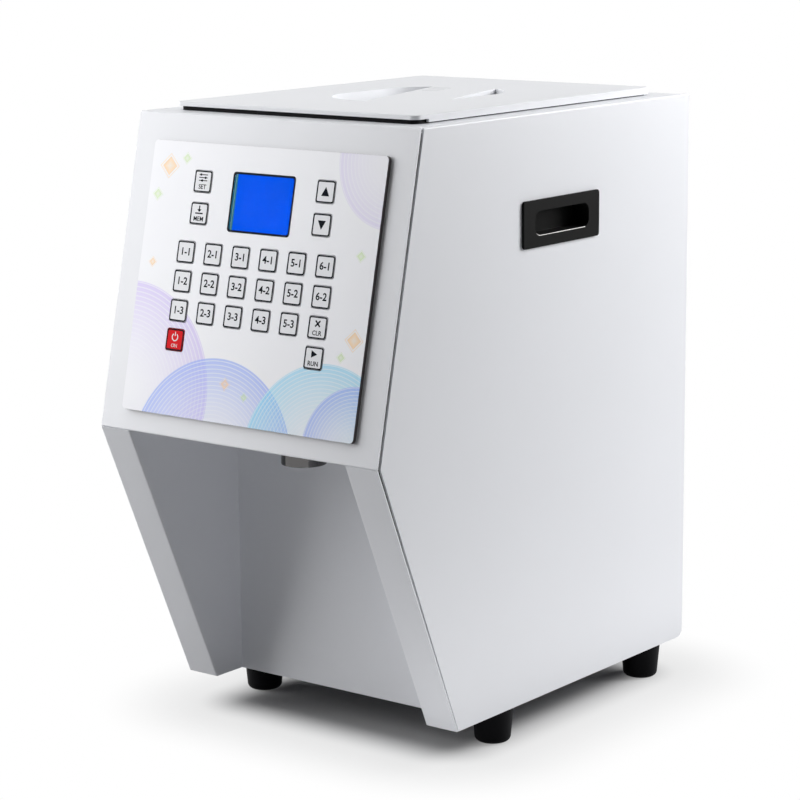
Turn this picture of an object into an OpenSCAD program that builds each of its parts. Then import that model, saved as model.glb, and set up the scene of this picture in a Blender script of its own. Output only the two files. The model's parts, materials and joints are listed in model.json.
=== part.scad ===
// Countertop powder dispenser: a folded sheet cabinet with a sloping key panel, a lift-off lid,
// a hopper with a geared auger and agitator, and an open cup bay below the outlet nozzle.
// The front faces -Y, +Z is up, and the origin is on the counter under the middle of the box.

/* [Cabinet] */
// Width across the side panels
body_w = 245; // [238:1:260]
// Depth from the nose to the rear edges of the side panels
body_d = 378; // [372:1:400]
// Height of the cabinet, without feet and lid
body_h = 416; // [410:1:436]
// Height of the nose above the underside
nose_h = 199; // [192:1:205]
// Setback of the top front edge behind the nose
brow_setback = 49; // [42:1:54]
// Setback of the leg bottoms behind the nose
base_setback = 86; // [78:1:92]
// Thickness of the folded sheet
sheet_t = 1.5; // [1.2:0.1:1.8]
// Open seam between the front sheets and the side panels
seam_gap = 2.7; // [2:0.1:3.5]
// Radius of the lower rear corner of the side panels
corner_r = 7; // [3:1:7]
// Clear width between the legs of the cup bay
bay_w = 192; // [180:1:198]
// Depth of the cup bay, from the nose to its back wall
bay_d = 114; // [108:1:118]
// Height of a rubber foot
foot_h = 26; // [22:1:32]
// Diameter of a rubber foot at its top
foot_d = 30; // [26:1:32]

/* [Control panel] */
// Width of the raised overlay
overlay_w = 205; // [196:1:212]
// Height of the overlay along the slope
overlay_h = 188; // [182:1:194]
// Thickness of the overlay
overlay_t = 3; // [2:0.1:4]
// Width of the display window
display_w = 54; // [48:1:58]
// Height of the display window
display_h = 40; // [36:1:44]
// Width of a key
key_w = 15.5; // [13:0.5:17]
// Height of a key
key_h = 15; // [13:0.5:16]
// Distance between key columns
key_pitch_x = 24.6; // [22:0.1:26]
// Distance between key rows
key_pitch_y = 20.2; // [19:0.1:22]
// How far a key travels when it is pressed
key_travel = 0.6; // [0.4:0.1:1]

/* [Carry handles] */
// Length of the handle plate
handle_l = 93; // [84:1:104]
// Height of the handle plate
handle_h = 33; // [29:1:38]
// Depth of the finger recess
recess_depth = 14; // [10:1:18]

/* [Lid] */
// Width of the lid
lid_w = 212; // [208:1:220]
// Depth of the lid, front to rear
lid_d = 286; // [278:1:292]
// Thickness of the lid plate
lid_t = 3; // [2.5:0.5:5]
// Width of the oval finger dish
dish_w = 98; // [90:1:106]
// Length of the finger dish, front to rear
dish_l = 140; // [130:1:144]
// Depth of the dish
dish_depth = 18; // [12:1:22]
// Width of the grip bar across the dish
grip_w = 52; // [44:1:56]

/* [Hopper and drive] */
// Inner width of the hopper
hopper_w = 184; // [170:1:190]
// Inner length of the hopper
hopper_l = 190; // [182:1:194]
// Lean of the hopper walls from the vertical, in degrees
hopper_flare = 32; // [28:1:36]
// Inner radius of the trough and the outlet tube
trough_r = 24; // [22:0.5:25]
// Gap between the auger flight and the trough
flight_gap = 1.5; // [1:0.1:2.5]
// Rise of the auger flight in one turn
auger_pitch = 24; // [18:1:30]
// Diameter of the shafts in their bushes
shaft_d = 10; // [8:0.5:12]
// Outer diameter of the outlet nozzle
nozzle_d = 32; // [28:1:34]
// How far the nozzle hangs below the nose
nozzle_drop = 24; // [16:1:32]
// Module of the gear teeth
gear_module = 1.5; // [1.4:0.05:1.6]

/* [Hidden] */
$fn = 48;
// How far a cutting shape runs past the face it cuts
over = 1;

// Clearances
fit_gap = 0.05;
run_gap = 0.06;
slide_gap = 0.4;
panel_gap = 0.3;
cutout_gap = 0.5;
side_gap = 1.5;
seam_foot = 0.5;

// Main planes of the cabinet
half_w = body_w / 2;
inner_x = half_w - sheet_t;
front_x = inner_x - side_gap;
y_nose = -body_d / 2;
y_rear = body_d / 2;
y_brow = y_nose + brow_setback;
y_base = y_nose + base_setback;
y_bay = y_nose + bay_d;
z_base = foot_h;
z_nose = z_base + nose_h;
z_top = z_base + body_h;
lean = atan2(brow_setback, body_h - nose_h);
leg_l = norm([base_setback, nose_h]);
leg_t = sheet_t * leg_l / nose_h;
nose_return = 16;
side_return = 14;
seam_setback = (sheet_t + seam_gap) / cos(lean);
ceiling_setback = 5;
z_ceiling = z_nose + sheet_t;
base_flange = 14;

// Rear panel, recessed between the side panels
rear_recess = 7;
rear_flange_w = 14;
rear_flange_inset = 22;
y_rp = y_rear - rear_recess;
vent_w = 3;
vent_l = 34;
vent_pitch = 9;
vent_cols = 13;
vent_rows = 2;
vent_row_pitch = 46;
vent_rise = 250;
vent_z = z_base + vent_rise;

// Screws
screw_r = 2;
screw_head_r = 3.6;
screw_head_h = 2.2;
screw_l = 8;
rear_screw_rows = 3;

// Feet
foot_taper = 2;
foot_r = 4;
foot_inset = 16.5;
foot_front = 37;
foot_rear = 33.5;
foot_bolt_r = 2.5;
foot_bolt_head_r = 4.8;
foot_bolt_head_h = 3.5;
foot_bore_r = 6;
foot_bore_h = 12;
foot_nut_h = 4;
foot_nut_r = 4.6;
foot_spots = [
    for (sx = [-1, 1])
        for (y = [y_bay + foot_front, y_rear - foot_rear])
            [sx * (half_w - foot_inset), y]
];

// Control panel, measured down the slope from the top front edge
overlay_top = 19.5;
overlay_r = 3;
overlay_mid = -(overlay_top + overlay_h / 2);
display_down = 58;
display_mid = -display_down;
display_r = 2;
display_proud = 0.3;
display_rim = 5;
window_gap = 0.2;
window_t = overlay_t - display_proud - cutout_gap;
key_r = 1.5;
key_proud = 0.3;
key_lip = 1.5;
key_lip_t = 1;
key_cols = 6;
key_rows = 4;
row_gap = 3;
key_top = display_down + display_h / 2 + display_rim + row_gap + key_lip + key_h / 2;
side_key_x = 54;
side_key_top = 46;
side_key_pitch = 22;
switch_w = 6;
switch_h = 4;
switch_bore_r = 1.9;
stem_r = 1.6;
stem_dip = 0.5;
board_t = 1.6;
board_top = 28;
board_side = 16.75;
board_foot = 10.9;
board_w = (key_cols - 1) * key_pitch_x + key_w + 2 * board_side;
board_h = key_top + (key_rows - 1) * key_pitch_y + key_h / 2 + board_foot - board_top;
board_mid = -(board_top + board_h / 2);
board_drop = 9;
board_back = -board_drop - board_t;
header_w = 26;
header_h = 8;
header_t = 7;
header_x = -60;
post_r = 3;
post_tip_r = 1.5;
post_inset = 6;
post_x = board_w / 2 - post_inset;
post_rows = [for (i = [-1:1]) board_mid + i * (board_h / 2 - post_inset)];

function key_x(col) = (col - (key_cols - 1) / 2) * key_pitch_x;
function key_y(row) = -(key_top + row * key_pitch_y);
function side_key_y(row) = -(side_key_top + row * side_key_pitch);

// Every key as its name and its place on the panel
KEYS = concat(
    [
        for (row = [0:1])
            for (col = [0:key_cols - 1])
                [str("key_", col + 1, "_", row + 1), key_x(col), key_y(row)]
    ],
    [for (col = [0:key_cols - 2]) [str("key_", col + 1, "_3"), key_x(col), key_y(2)]],
    [
        ["key_clear", key_x(key_cols - 1), key_y(2)],
        ["key_power", key_x(0), key_y(3)],
        ["key_run", key_x(key_cols - 1), key_y(3)],
        ["key_set", -side_key_x, side_key_y(0)],
        ["key_store", -side_key_x, side_key_y(1)],
        ["key_up", side_key_x, side_key_y(0)],
        ["key_down", side_key_x, side_key_y(1)]
    ]
);

// Carry handles
handle_r = 2.5;
handle_plate_t = 2;
handle_margin = 7;
handle_rim_h = 3;
handle_wall = 2;
handle_setback = 160;
handle_down = 75.5;
recess_end = 13.5;
recess_side = 8;
recess_r = 6;
recess_l = handle_l - 2 * recess_end;
recess_h = handle_h - 2 * recess_side;
cup_l = handle_l - 2 * handle_margin;
cup_h = handle_h - 2 * handle_rim_h;

// Lid
lid_setback = 17;
lid_r = 6;
gasket_t = 3;
gasket_w = 5;
skirt_t = 2;
skirt_gap = 0.8;
skirt_front = 14;
gasket_inset = skirt_t + panel_gap;
dish_wall = 2;
dish_taper = 5;
grip_side = 12;
grip_turn = 16;
rim_gap = 1.5;
rim_t = 2;
rim_h = 10;
rim_r = 4;
mark_r = 3;
mark_dip = 0.8;
mark_l = 14;
mark_pitch = 12;
mark_inset = 4;
mark_y = 42;
y_lid = y_brow + lid_setback + lid_d / 2;
z_lid = z_top + gasket_t + lid_t;

// Hopper, outlet and drive axes
hopper_t = 1.5;
hopper_setback = 45;
tube_setback = 5.5;
drop_setback = 25;
tube_flange = 7;
nozzle_wall = 2.5;
nozzle_flange = 6;
nozzle_flange_t = 2;
nozzle_seat = 5;
drop_gap = 2.5;
nozzle_r = nozzle_d / 2;
outlet_r = nozzle_r - nozzle_wall;
y_hop0 = y_brow + hopper_setback;
y_hop1 = y_hop0 + hopper_l + 2 * hopper_t;
y_tube0 = y_brow + tube_setback;
y_drop = y_brow + drop_setback;
z_drop = z_ceiling + sheet_t + nozzle_seat;
z_nozzle = z_nose - nozzle_drop;
z_auger = z_drop + drop_gap + hopper_t + trough_r;
y_mouth = y_hop0 + hopper_t + hopper_l / 2;

// Opening in the top that the deck of the hopper fills
deck_side = 9;
deck_front = 20;
deck_rear = 43;
open_x = hopper_w / 2 + deck_side;
y_open0 = y_hop0 - deck_front;
y_open1 = y_hop1 + deck_rear;

// Gears: pinion, auger gear and agitator gear in one plane
pinion_teeth = 28;
auger_teeth = 40;
agitator_teeth = 60;
pressure_angle = 20;
dedendum = 1.25;
backlash = 0.25;
flank_steps = 4;
gear_t = 8;
gear_setback = 7;
gear_hub = 4;
gear_hub_l = 3;
web_holes = 6;
web_margin = 1.5;
web_t = 4;
z_agitator = z_auger + gear_module * (auger_teeth + agitator_teeth) / 2;
z_pinion = z_auger - gear_module * (auger_teeth + pinion_teeth) / 2;
y_gear = y_hop1 + gear_setback;
plate_gap = 6;
plate_t = 3;
plate_w = 90;
plate_foot = 16;
ledge_gap = 4;
y_plate = y_gear + gear_t + plate_gap;

// Shafts and bushes
shaft_r = shaft_d / 2;
core_wall = 2;
bush_wall = 3;
bush_flange = 3;
core_r = shaft_r + core_wall;
bush_r = shaft_r + bush_wall;
bush_flange_r = bush_r + bush_flange;
bush_flange_t = 2.5;
shaft_tail = 6;
shaft_nose = 1;
core_gap = 1;
flight_t = 2;
flight_steps = 16;
flight_r = trough_r - flight_gap;
stir_gap = 4.5;
stir_rod_r = 3;
stir_rods = 8;
stir_margin = 18;
stir_turn = 45;
stir_r = z_agitator - z_auger - flight_r - stir_gap;

// Gear motor
motor_head_r = 18.5;
motor_head_l = 22;
motor_can_r = 16.5;
motor_can_l = 28;
motor_boss_r = 6;
motor_shaft_r = 3;
motor_shaft_l = 14;
motor_tab_w = 12;
motor_tab_h = 6;
motor_gap = 2;
y_motor = y_gear - motor_gap - plate_t;

// Power supply and power entry
supply_w = 110;
supply_d = 78;
supply_h = 36;
supply_setback = 45;
supply_lip = 3;
y_supply = y_bay + supply_setback;
entry_rise = 60;
entry_z = z_base + entry_rise;
entry_w = 62;
entry_x = inner_x - rear_flange_w - entry_w / 2;
entry_h = 32;
entry_r = 3;
entry_flange_t = 2;
entry_body_w = 56;
entry_body_h = 27;
entry_depth = 24;
socket_x = -13;
socket_w = 24.5;
socket_h = 16.5;
socket_chamfer = 4;
socket_depth = 17;
pin_w = 2;
pin_h = 4;
pin_l = 15;
pin_pitch = 7;
pin_rise = 2;
rocker_x = 18;
rocker_w = 13.4;
rocker_r = 11;
rocker_gap = 0.5;
rocker_mid_h = 2;
rocker_back = 4;
rocker_tilt = 10;
rocker_pin_r = 1.5;
rocker_pin_l = 1.4;
pin_span = rocker_w + 2 * rocker_pin_l;
bay_depth = 14;

// Inner leads, each laid from seat to seat
lead_r = 2.5;
lead_sides = 8;
lead_ref = [0.9, 0.35, 0.2];
lead_x = 40;
lead_run = 14;
lead_bend = 30;
lead_side = 31;
lead_way = plate_w / 2 + lead_side;
supply_y1 = y_supply + supply_d;
supply_z = z_base + sheet_t + supply_h / 2;
y_tab = y_motor - motor_head_l - motor_can_l / 2;
z_tab = z_pinion - motor_can_r - motor_tab_h;
y_entry = y_rp - entry_depth;
header_y = board_mid - board_h / 2 + header_h / 2;

// A point of the panel's own frame
function panel_point(x, y, z) =
    [x, y_brow + y * sin(lean) - z * cos(lean), z_top + y * cos(lean) + z * sin(lean)];

inlet_lead = [
    [entry_x, y_entry, entry_z],
    [entry_x, y_entry - lead_run, entry_z],
    [lead_way, y_plate - lead_bend, supply_z + lead_run / 2],
    [lead_x, supply_y1 + lead_run, supply_z],
    [lead_x, supply_y1, supply_z]
];
motor_lead = [
    [-lead_x, supply_y1, supply_z],
    [-lead_x, supply_y1 + lead_run, supply_z],
    [-lead_x, supply_y1 + lead_run, z_tab - 2 * lead_bend],
    [0, y_tab, z_tab - lead_run],
    [0, y_tab, z_tab]
];
board_lead = [
    [-lead_x, y_supply, supply_z],
    [-lead_x, y_supply - lead_run, supply_z],
    [-lead_way, y_bay + lead_run, supply_z + lead_bend],
    [-lead_way, y_bay + lead_run, z_ceiling - lead_bend],
    [-lead_way, y_bay + sheet_t, z_ceiling + lead_run],
    panel_point(header_x, header_y - lead_run, board_back - header_t - lead_bend),
    panel_point(header_x, header_y, board_back - header_t - lead_run),
    panel_point(header_x, header_y, board_back - header_t)
];

// Frames and shared shapes

// An outline of (y, z) pulled along X
module extrude_x(x0, w) {
    translate([x0, 0, 0]) rotate([90, 0, 90]) linear_extrude(w) children();
}

// An outline of (x, z) pulled along Y
module extrude_y(y0, l) {
    translate([0, y0 + l, 0]) rotate([90, 0, 0]) linear_extrude(l) children();
}

// Local Z runs to the rear at height z
module along_y(y0, z) {
    translate([0, y0, z]) rotate([-90, 0, 0]) children();
}

// Local Y climbs the slope from the top front edge, and local Z leaves the fascia
module on_panel() {
    translate([0, y_brow, z_top]) rotate([90 - lean, 0, 0]) children();
}

// Local Z leaves the right side panel at the handle
module on_side() {
    translate([half_w, y_brow + handle_setback, z_top - handle_down]) rotate([90, 0, 90]) children();
}

// Local Z leaves the rear panel
module on_rear(x, z) {
    translate([x, y_rp, z]) rotate([90, 0, 180]) children();
}

module rounded(w, h, r) {
    square([w - 2 * r, h], center = true);
    square([w, h - 2 * r], center = true);
    for (sx = [-1, 1])
        for (sy = [-1, 1])
            translate([sx * (w / 2 - r), sy * (h / 2 - r)]) circle(r);
}

module obround(l, h) {
    square([l - h, h], center = true);
    for (s = [-1, 1])
        translate([s * (l - h) / 2, 0]) circle(h / 2);
}

module both_sides() {
    children();
    mirror([1, 0, 0]) children();
}

// Cabinet

// Side outline: top front, nose, leg bottom, lower rear, upper rear. Its front edges stand an
// open seam behind the front sheets, and the seam closes towards the leg bottoms.
module side_outline() {
    difference() {
        polygon([
            [y_brow + seam_setback, z_top], [y_nose + seam_setback, z_nose],
            [y_base + leg_t + seam_foot, z_base], [y_rear, z_base], [y_rear, z_top]
        ]);
        translate([y_rear - corner_r, z_base])
            difference() {
                translate([0, -over]) square([corner_r + over, corner_r + over]);
                translate([0, corner_r]) circle(corner_r);
            }
    }
}

function rear_screw_z(row) =
    z_base + 2 * rear_flange_inset
    + row * (body_h - 4 * rear_flange_inset) / (rear_screw_rows - 1);

module rear_screw_spots() {
    for (sx = [-1, 1])
        for (row = [0:rear_screw_rows - 1])
            on_rear(sx * (inner_x - rear_flange_w / 2 - side_gap / 2), rear_screw_z(row)) children();
}

module side_panel() {
    color("whitesmoke")
    difference() {
        union() {
            extrude_x(inner_x, sheet_t) side_outline();
            translate([open_x, y_open0 + panel_gap, z_top - sheet_t])
                cube([half_w - open_x - sheet_t / 2, y_open1 - y_open0 - 2 * panel_gap, sheet_t]);
            translate([inner_x - rear_flange_w, y_rp - 2 * sheet_t, z_base + rear_flange_inset])
                cube([rear_flange_w + sheet_t / 2, sheet_t, body_h - 2 * rear_flange_inset]);
        }
        on_side()
            translate([0, 0, -2 * sheet_t])
                linear_extrude(3 * sheet_t)
                    rounded(cup_l + 2 * cutout_gap, cup_h + 2 * cutout_gap, handle_r);
        rear_screw_spots()
            translate([0, 0, -2 * sheet_t - over]) cylinder(r = screw_r + panel_gap, h = 3 * sheet_t + over);
    }
}

module side_panel_left() {
    mirror([1, 0, 0]) side_panel();
}

module side_panel_right() {
    side_panel();
}

// Plan of the floor: a tray with a tongue under each leg
module base_plan() {
    b = bay_w / 2 + sheet_t;
    leg_y = y_base + leg_t;
    polygon([
        [-inner_x, leg_y], [-b, leg_y], [-b, y_bay + sheet_t], [b, y_bay + sheet_t],
        [b, leg_y], [inner_x, leg_y], [inner_x, y_rp], [-inner_x, y_rp]
    ]);
}

module base_plate() {
    color("gainsboro")
    difference() {
        union() {
            translate([0, 0, z_base]) linear_extrude(sheet_t) base_plan();
            both_sides()
                translate([inner_x - sheet_t, y_bay + 2 * sheet_t, z_base])
                    cube([sheet_t, y_rp - y_bay - 5 * sheet_t, base_flange]);
        }
        for (p = foot_spots)
            translate([p[0], p[1], z_base - over])
                cylinder(r = foot_bolt_r + panel_gap, h = sheet_t + 2 * over);
    }
}

module vent_slots() {
    for (row = [0:vent_rows - 1])
        for (col = [0:vent_cols - 1])
            translate([(col - (vent_cols - 1) / 2) * vent_pitch, row * vent_row_pitch, 0])
                obround_slot();
}

module obround_slot() {
    rotate(90) obround(vent_l, vent_w);
}

module rear_panel() {
    color("whitesmoke")
    difference() {
        union() {
            translate([-front_x, y_rp - sheet_t, z_base + sheet_t])
                cube([2 * front_x, sheet_t, body_h - sheet_t]);
            translate([-front_x, y_open1, z_top - sheet_t]) cube([2 * front_x, y_rp - y_open1, sheet_t]);
        }
        on_rear(0, vent_z) translate([0, 0, -sheet_t - over]) linear_extrude(sheet_t + 2 * over) vent_slots();
        on_rear(entry_x, entry_z)
            translate([0, 0, -sheet_t - over])
                linear_extrude(sheet_t + 2 * over)
                    square([entry_body_w + 2 * panel_gap, entry_body_h + 2 * panel_gap], center = true);
        rear_screw_spots()
            translate([0, 0, -sheet_t - over]) cylinder(r = screw_r + panel_gap, h = sheet_t + 2 * over);
    }
}

module housing_screws() {
    color("silver")
    rear_screw_spots() {
        cylinder(r = screw_head_r, h = screw_head_h);
        translate([0, 0, -screw_l]) cylinder(r = screw_r, h = screw_l);
    }
}

// Outer and inner lines of the sloping front
function slope_y(z) = y_brow - (z_top - z) * tan(lean);
function slope_in_y(z) = slope_y(z) + sheet_t / cos(lean);

// One sheet: top flange, sloping front and a short return under the nose
module fascia_section() {
    polygon([
        [y_open0, z_top], [y_brow, z_top], [y_nose, z_nose], [y_nose + nose_return, z_nose],
        [y_nose + nose_return, z_ceiling], [slope_in_y(z_ceiling), z_ceiling],
        [slope_in_y(z_top - sheet_t), z_top - sheet_t], [y_open0, z_top - sheet_t]
    ]);
}

// The sloping front alone, for the strips that run over the edges of the side panels
module fascia_edge_section() {
    polygon([
        [y_brow, z_top], [y_nose, z_nose], [slope_in_y(z_nose), z_nose], [slope_in_y(z_top), z_top]
    ]);
}

// Folded edge of the slope, which closes the seam from inside
module fascia_return_section() {
    z0 = z_ceiling + sheet_t + panel_gap;
    z1 = z_top - 2 * sheet_t - panel_gap;
    polygon([
        [slope_y(z0) + sheet_t / 2, z0], [slope_y(z1) + sheet_t / 2, z1],
        [slope_y(z1) + side_return, z1], [slope_y(z0) + side_return, z0]
    ]);
}

module key_holes() {
    for (k = KEYS)
        translate([k[1], k[2]]) rounded(key_w + 2 * slide_gap, key_h + 2 * slide_gap, key_r + slide_gap);
}

module panel_holes() {
    translate([0, display_mid]) rounded(display_w, display_h, display_r);
    key_holes();
}

module front_fascia() {
    color("white")
    difference() {
        union() {
            extrude_x(-front_x, 2 * front_x) fascia_section();
            both_sides() {
                extrude_x(front_x - sheet_t, half_w - front_x + sheet_t) fascia_edge_section();
                extrude_x(front_x - sheet_t, sheet_t) fascia_return_section();
            }
        }
        on_panel() translate([0, 0, -sheet_t - over]) linear_extrude(sheet_t + 2 * over) panel_holes();
    }
}

// Side wall of the cup bay, cut to the slope of the legs and round the nose return
module bay_wall_section() {
    back = y_bay + sheet_t;
    notch = y_nose + nose_return + panel_gap;
    top = z_ceiling + sheet_t / 2;
    polygon([[y_nose, z_nose], [y_base, z_base], [back, z_base], [back, top], [notch, top], [notch, z_nose]]);
}

module leg_strip_section() {
    polygon([[y_nose, z_nose], [y_base, z_base], [y_base + leg_t, z_base], [y_nose + leg_t, z_nose]]);
}

module cup_bay_liner() {
    color("gainsboro")
    difference() {
        union() {
            translate([-bay_w / 2 - sheet_t, y_bay, z_base])
                cube([bay_w + 2 * sheet_t, sheet_t, z_ceiling + sheet_t - z_base]);
            both_sides() {
                extrude_x(bay_w / 2, sheet_t) bay_wall_section();
                extrude_x(bay_w / 2, half_w - bay_w / 2) leg_strip_section();
            }
            translate([-front_x, y_nose + ceiling_setback, z_ceiling])
                cube([2 * front_x, bay_d + sheet_t - ceiling_setback, sheet_t]);
        }
        translate([0, y_drop, z_ceiling - over]) cylinder(r = nozzle_r + cutout_gap, h = sheet_t + 2 * over);
    }
}

// Frame under the top flanges that carries the hopper
module top_frame() {
    y0 = slope_in_y(z_top - sheet_t) + ceiling_setback;
    hole_x = hopper_w / 2 + hopper_t + cutout_gap;
    color("silver")
    difference() {
        translate([-inner_x + panel_gap, y0, z_top - 2 * sheet_t])
            cube([2 * (inner_x - panel_gap), y_rp - sheet_t - panel_gap - y0, sheet_t]);
        translate([-hole_x, y_hop0 - cutout_gap, z_top - 2 * sheet_t - over])
            cube([2 * hole_x, y_hop1 - y_hop0 + 2 * cutout_gap, sheet_t + 2 * over]);
    }
}

// Half section of a foot: a slight taper and a rounded lower edge
module foot_profile() {
    sole_r = foot_d / 2 - foot_taper;
    polygon([[0, 0], [sole_r - foot_r, 0], [sole_r, foot_r], [foot_d / 2, foot_h], [0, foot_h]]);
    translate([sole_r - foot_r, foot_r])
        intersection() {
            circle(foot_r);
            translate([0, -foot_r]) square(foot_r);
        }
}

module rubber_feet() {
    color("black")
    for (p = foot_spots)
        translate([p[0], p[1], 0])
            difference() {
                rotate_extrude() foot_profile();
                translate([0, 0, -over]) cylinder(r = foot_bore_r, h = foot_bore_h + over);
                cylinder(r = foot_bolt_r + fit_gap, h = foot_h + over);
            }
}

module foot_screws() {
    shank_l = foot_h - foot_bore_h + sheet_t + foot_nut_h + over;
    color("silver")
    for (p = foot_spots)
        translate([p[0], p[1], 0]) {
            translate([0, 0, foot_bore_h - foot_bolt_head_h])
                cylinder(r = foot_bolt_head_r, h = foot_bolt_head_h);
            translate([0, 0, foot_bore_h]) cylinder(r = foot_bolt_r, h = shank_l);
            translate([0, 0, z_base + sheet_t])
                difference() {
                    cylinder(r = foot_nut_r, h = foot_nut_h, $fn = 6);
                    translate([0, 0, -over]) cylinder(r = foot_bolt_r + fit_gap, h = foot_nut_h + 2 * over);
                }
        }
}

module carry_handle() {
    color([0.13, 0.13, 0.13])
    on_side()
        difference() {
            union() {
                linear_extrude(handle_plate_t) rounded(handle_l, handle_h, handle_r);
                translate([0, 0, -recess_depth])
                    linear_extrude(recess_depth + over) rounded(cup_l, cup_h, handle_r);
            }
            translate([0, 0, handle_wall - recess_depth])
                linear_extrude(recess_depth + handle_plate_t) rounded(recess_l, recess_h, recess_r);
        }
}

module carry_handle_left() {
    mirror([1, 0, 0]) carry_handle();
}

module carry_handle_right() {
    carry_handle();
}

// Control panel

module panel_overlay() {
    color("lavender")
    on_panel()
        linear_extrude(overlay_t)
            difference() {
                translate([0, overlay_mid]) rounded(overlay_w, overlay_h, overlay_r);
                panel_holes();
            }
}

module display_window() {
    color([0.2, 0.45, 1, 0.5])
    on_panel()
        translate([0, display_mid, overlay_t - window_t])
            linear_extrude(window_t)
                rounded(display_w - 2 * window_gap, display_h - 2 * window_gap, display_r);
}

module display_module() {
    back = board_drop;
    shoulder = sheet_t + panel_gap;
    color([0.05, 0.25, 0.9])
    on_panel()
        translate([0, display_mid, -back]) {
            linear_extrude(back - shoulder)
                square([display_w + 2 * display_rim, display_h + 2 * display_rim], center = true);
            linear_extrude(back + display_proud)
                rounded(display_w - 2 * cutout_gap, display_h - 2 * cutout_gap, display_r);
        }
}

module post_spots() {
    for (sx = [-1, 1])
        for (y = post_rows)
            translate([sx * post_x, y, 0]) children();
}

module control_board() {
    color("darkgreen")
    on_panel()
        difference() {
            union() {
                translate([-board_w / 2, board_mid - board_h / 2, board_back])
                    cube([board_w, board_h, board_t]);
                translate([header_x - header_w / 2, board_mid - board_h / 2, board_back - header_t])
                    cube([header_w, header_h, header_t + board_t / 2]);
            }
            post_spots()
                translate([0, 0, board_back - over])
                    cylinder(r = post_tip_r + fit_gap, h = board_t + 2 * over);
        }
}

module board_standoffs() {
    color("gold")
    on_panel()
        post_spots() {
            translate([0, 0, -board_drop]) cylinder(r = post_r, h = board_drop - sheet_t, $fn = 6);
            translate([0, 0, -board_drop - 2 * board_t]) cylinder(r = post_tip_r, h = 2 * board_t);
        }
}

function stem_end() = switch_h - board_drop - stem_dip;

module tact_switches() {
    color([0.2, 0.2, 0.2])
    on_panel()
        for (k = KEYS)
            translate([k[1], k[2], -board_drop])
                difference() {
                    translate([-switch_w / 2, -switch_w / 2, 0]) cube([switch_w, switch_w, switch_h]);
                    translate([0, 0, switch_h - stem_dip - 2 * key_travel])
                        cylinder(r = switch_bore_r, h = 2 * key_travel + stem_dip + over);
                }
}

// A cap through the panel, a lip that stops behind the fascia and a stem to its switch
module key(place) {
    cap_l = key_lip_t + sheet_t + overlay_t + key_proud;
    color(place[0] == "key_power" ? "crimson" : "white")
    on_panel()
        translate([place[1], place[2], 0]) {
            translate([0, 0, -sheet_t - key_lip_t]) linear_extrude(cap_l) rounded(key_w, key_h, key_r);
            translate([0, 0, -sheet_t - key_lip_t])
                linear_extrude(key_lip_t) rounded(key_w + 2 * key_lip, key_h + 2 * key_lip, key_r);
            translate([0, 0, stem_end()]) cylinder(r = stem_r, h = -sheet_t - stem_end());
        }
}

// Lid

module lid_outline(inset) {
    translate([0, y_lid]) rounded(lid_w - 2 * inset, lid_d - 2 * inset, lid_r);
}

module mouth_outline(inset) {
    translate([0, y_mouth]) rounded(hopper_w - 2 * inset, hopper_l - 2 * inset, rim_r);
}

// The rim goes into the mouth of the hopper and stays inside the gasket
module rim_outline(inset) {
    intersection() {
        mouth_outline(rim_gap + inset);
        lid_outline(gasket_inset + gasket_w + rim_gap + inset);
    }
}

// Tapered oval: two round ends and the straight stretch between them
module dish_form(grow) {
    r = dish_w / 2 + grow;
    run = dish_l - dish_w;
    h = dish_depth + grow;
    translate([0, y_lid, z_lid - h]) {
        for (side = [-1, 1])
            translate([0, side * run / 2, 0]) cylinder(r1 = r - dish_taper, r2 = r, h = h);
        extrude_y(-run / 2, run) polygon([[dish_taper - r, 0], [r - dish_taper, 0], [r, h], [-r, h]]);
    }
}

// Local X runs across the grip bar, which lies askew and off the middle of the dish
module on_grip() {
    translate([0, y_lid, z_lid]) rotate(grip_turn) translate([grip_side, 0, 0]) children();
}

// Plate with a hanging skirt that leaves the front open, a rim in the mouth of the hopper and the dish
module lid_shell() {
    z0 = z_top + gasket_t;
    translate([0, 0, z0]) linear_extrude(lid_t) lid_outline(0);
    translate([0, 0, z_top + skirt_gap])
        linear_extrude(gasket_t - skirt_gap + lid_t / 2)
            difference() {
                lid_outline(0);
                lid_outline(skirt_t);
                translate([-lid_w / 2, y_lid - lid_d / 2 - over]) square([lid_w, skirt_front + over]);
            }
    translate([0, 0, z0 - rim_h])
        linear_extrude(rim_h + lid_t / 2)
            difference() {
                rim_outline(0);
                rim_outline(rim_t);
            }
    dish_form(dish_wall);
}

module lid() {
    color("white")
    difference() {
        union() {
            difference() {
                lid_shell();
                dish_form(0);
            }
            intersection() {
                dish_form(dish_wall / 2);
                on_grip()
                    translate([-grip_w / 2, -dish_l, -dish_depth - dish_wall])
                        cube([grip_w, 2 * dish_l, dish_depth + dish_wall]);
            }
        }
        on_grip()
            for (i = [-1, 0, 1])
                translate([mark_inset - grip_w / 2, mark_y + i * mark_pitch, mark_r - mark_dip])
                    rotate([0, 90, 0]) cylinder(r = mark_r, h = mark_l);
    }
}

module lid_gasket() {
    color([0.15, 0.15, 0.15])
    translate([0, 0, z_top])
        linear_extrude(gasket_t)
            difference() {
                lid_outline(gasket_inset);
                lid_outline(gasket_inset + gasket_w);
            }
}

// Hopper and outlet

// Round trough with walls that lean out to an upright mouth, about the auger axis
module hopper_section(r, half, top) {
    c = cos(hopper_flare);
    s = sin(hopper_flare);
    knee = (half - r * c) / s * c - r * s;
    circle(r);
    polygon([[-r * c, -r * s], [r * c, -r * s], [half, knee], [half, top], [-half, top], [-half, knee]]);
}

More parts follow.
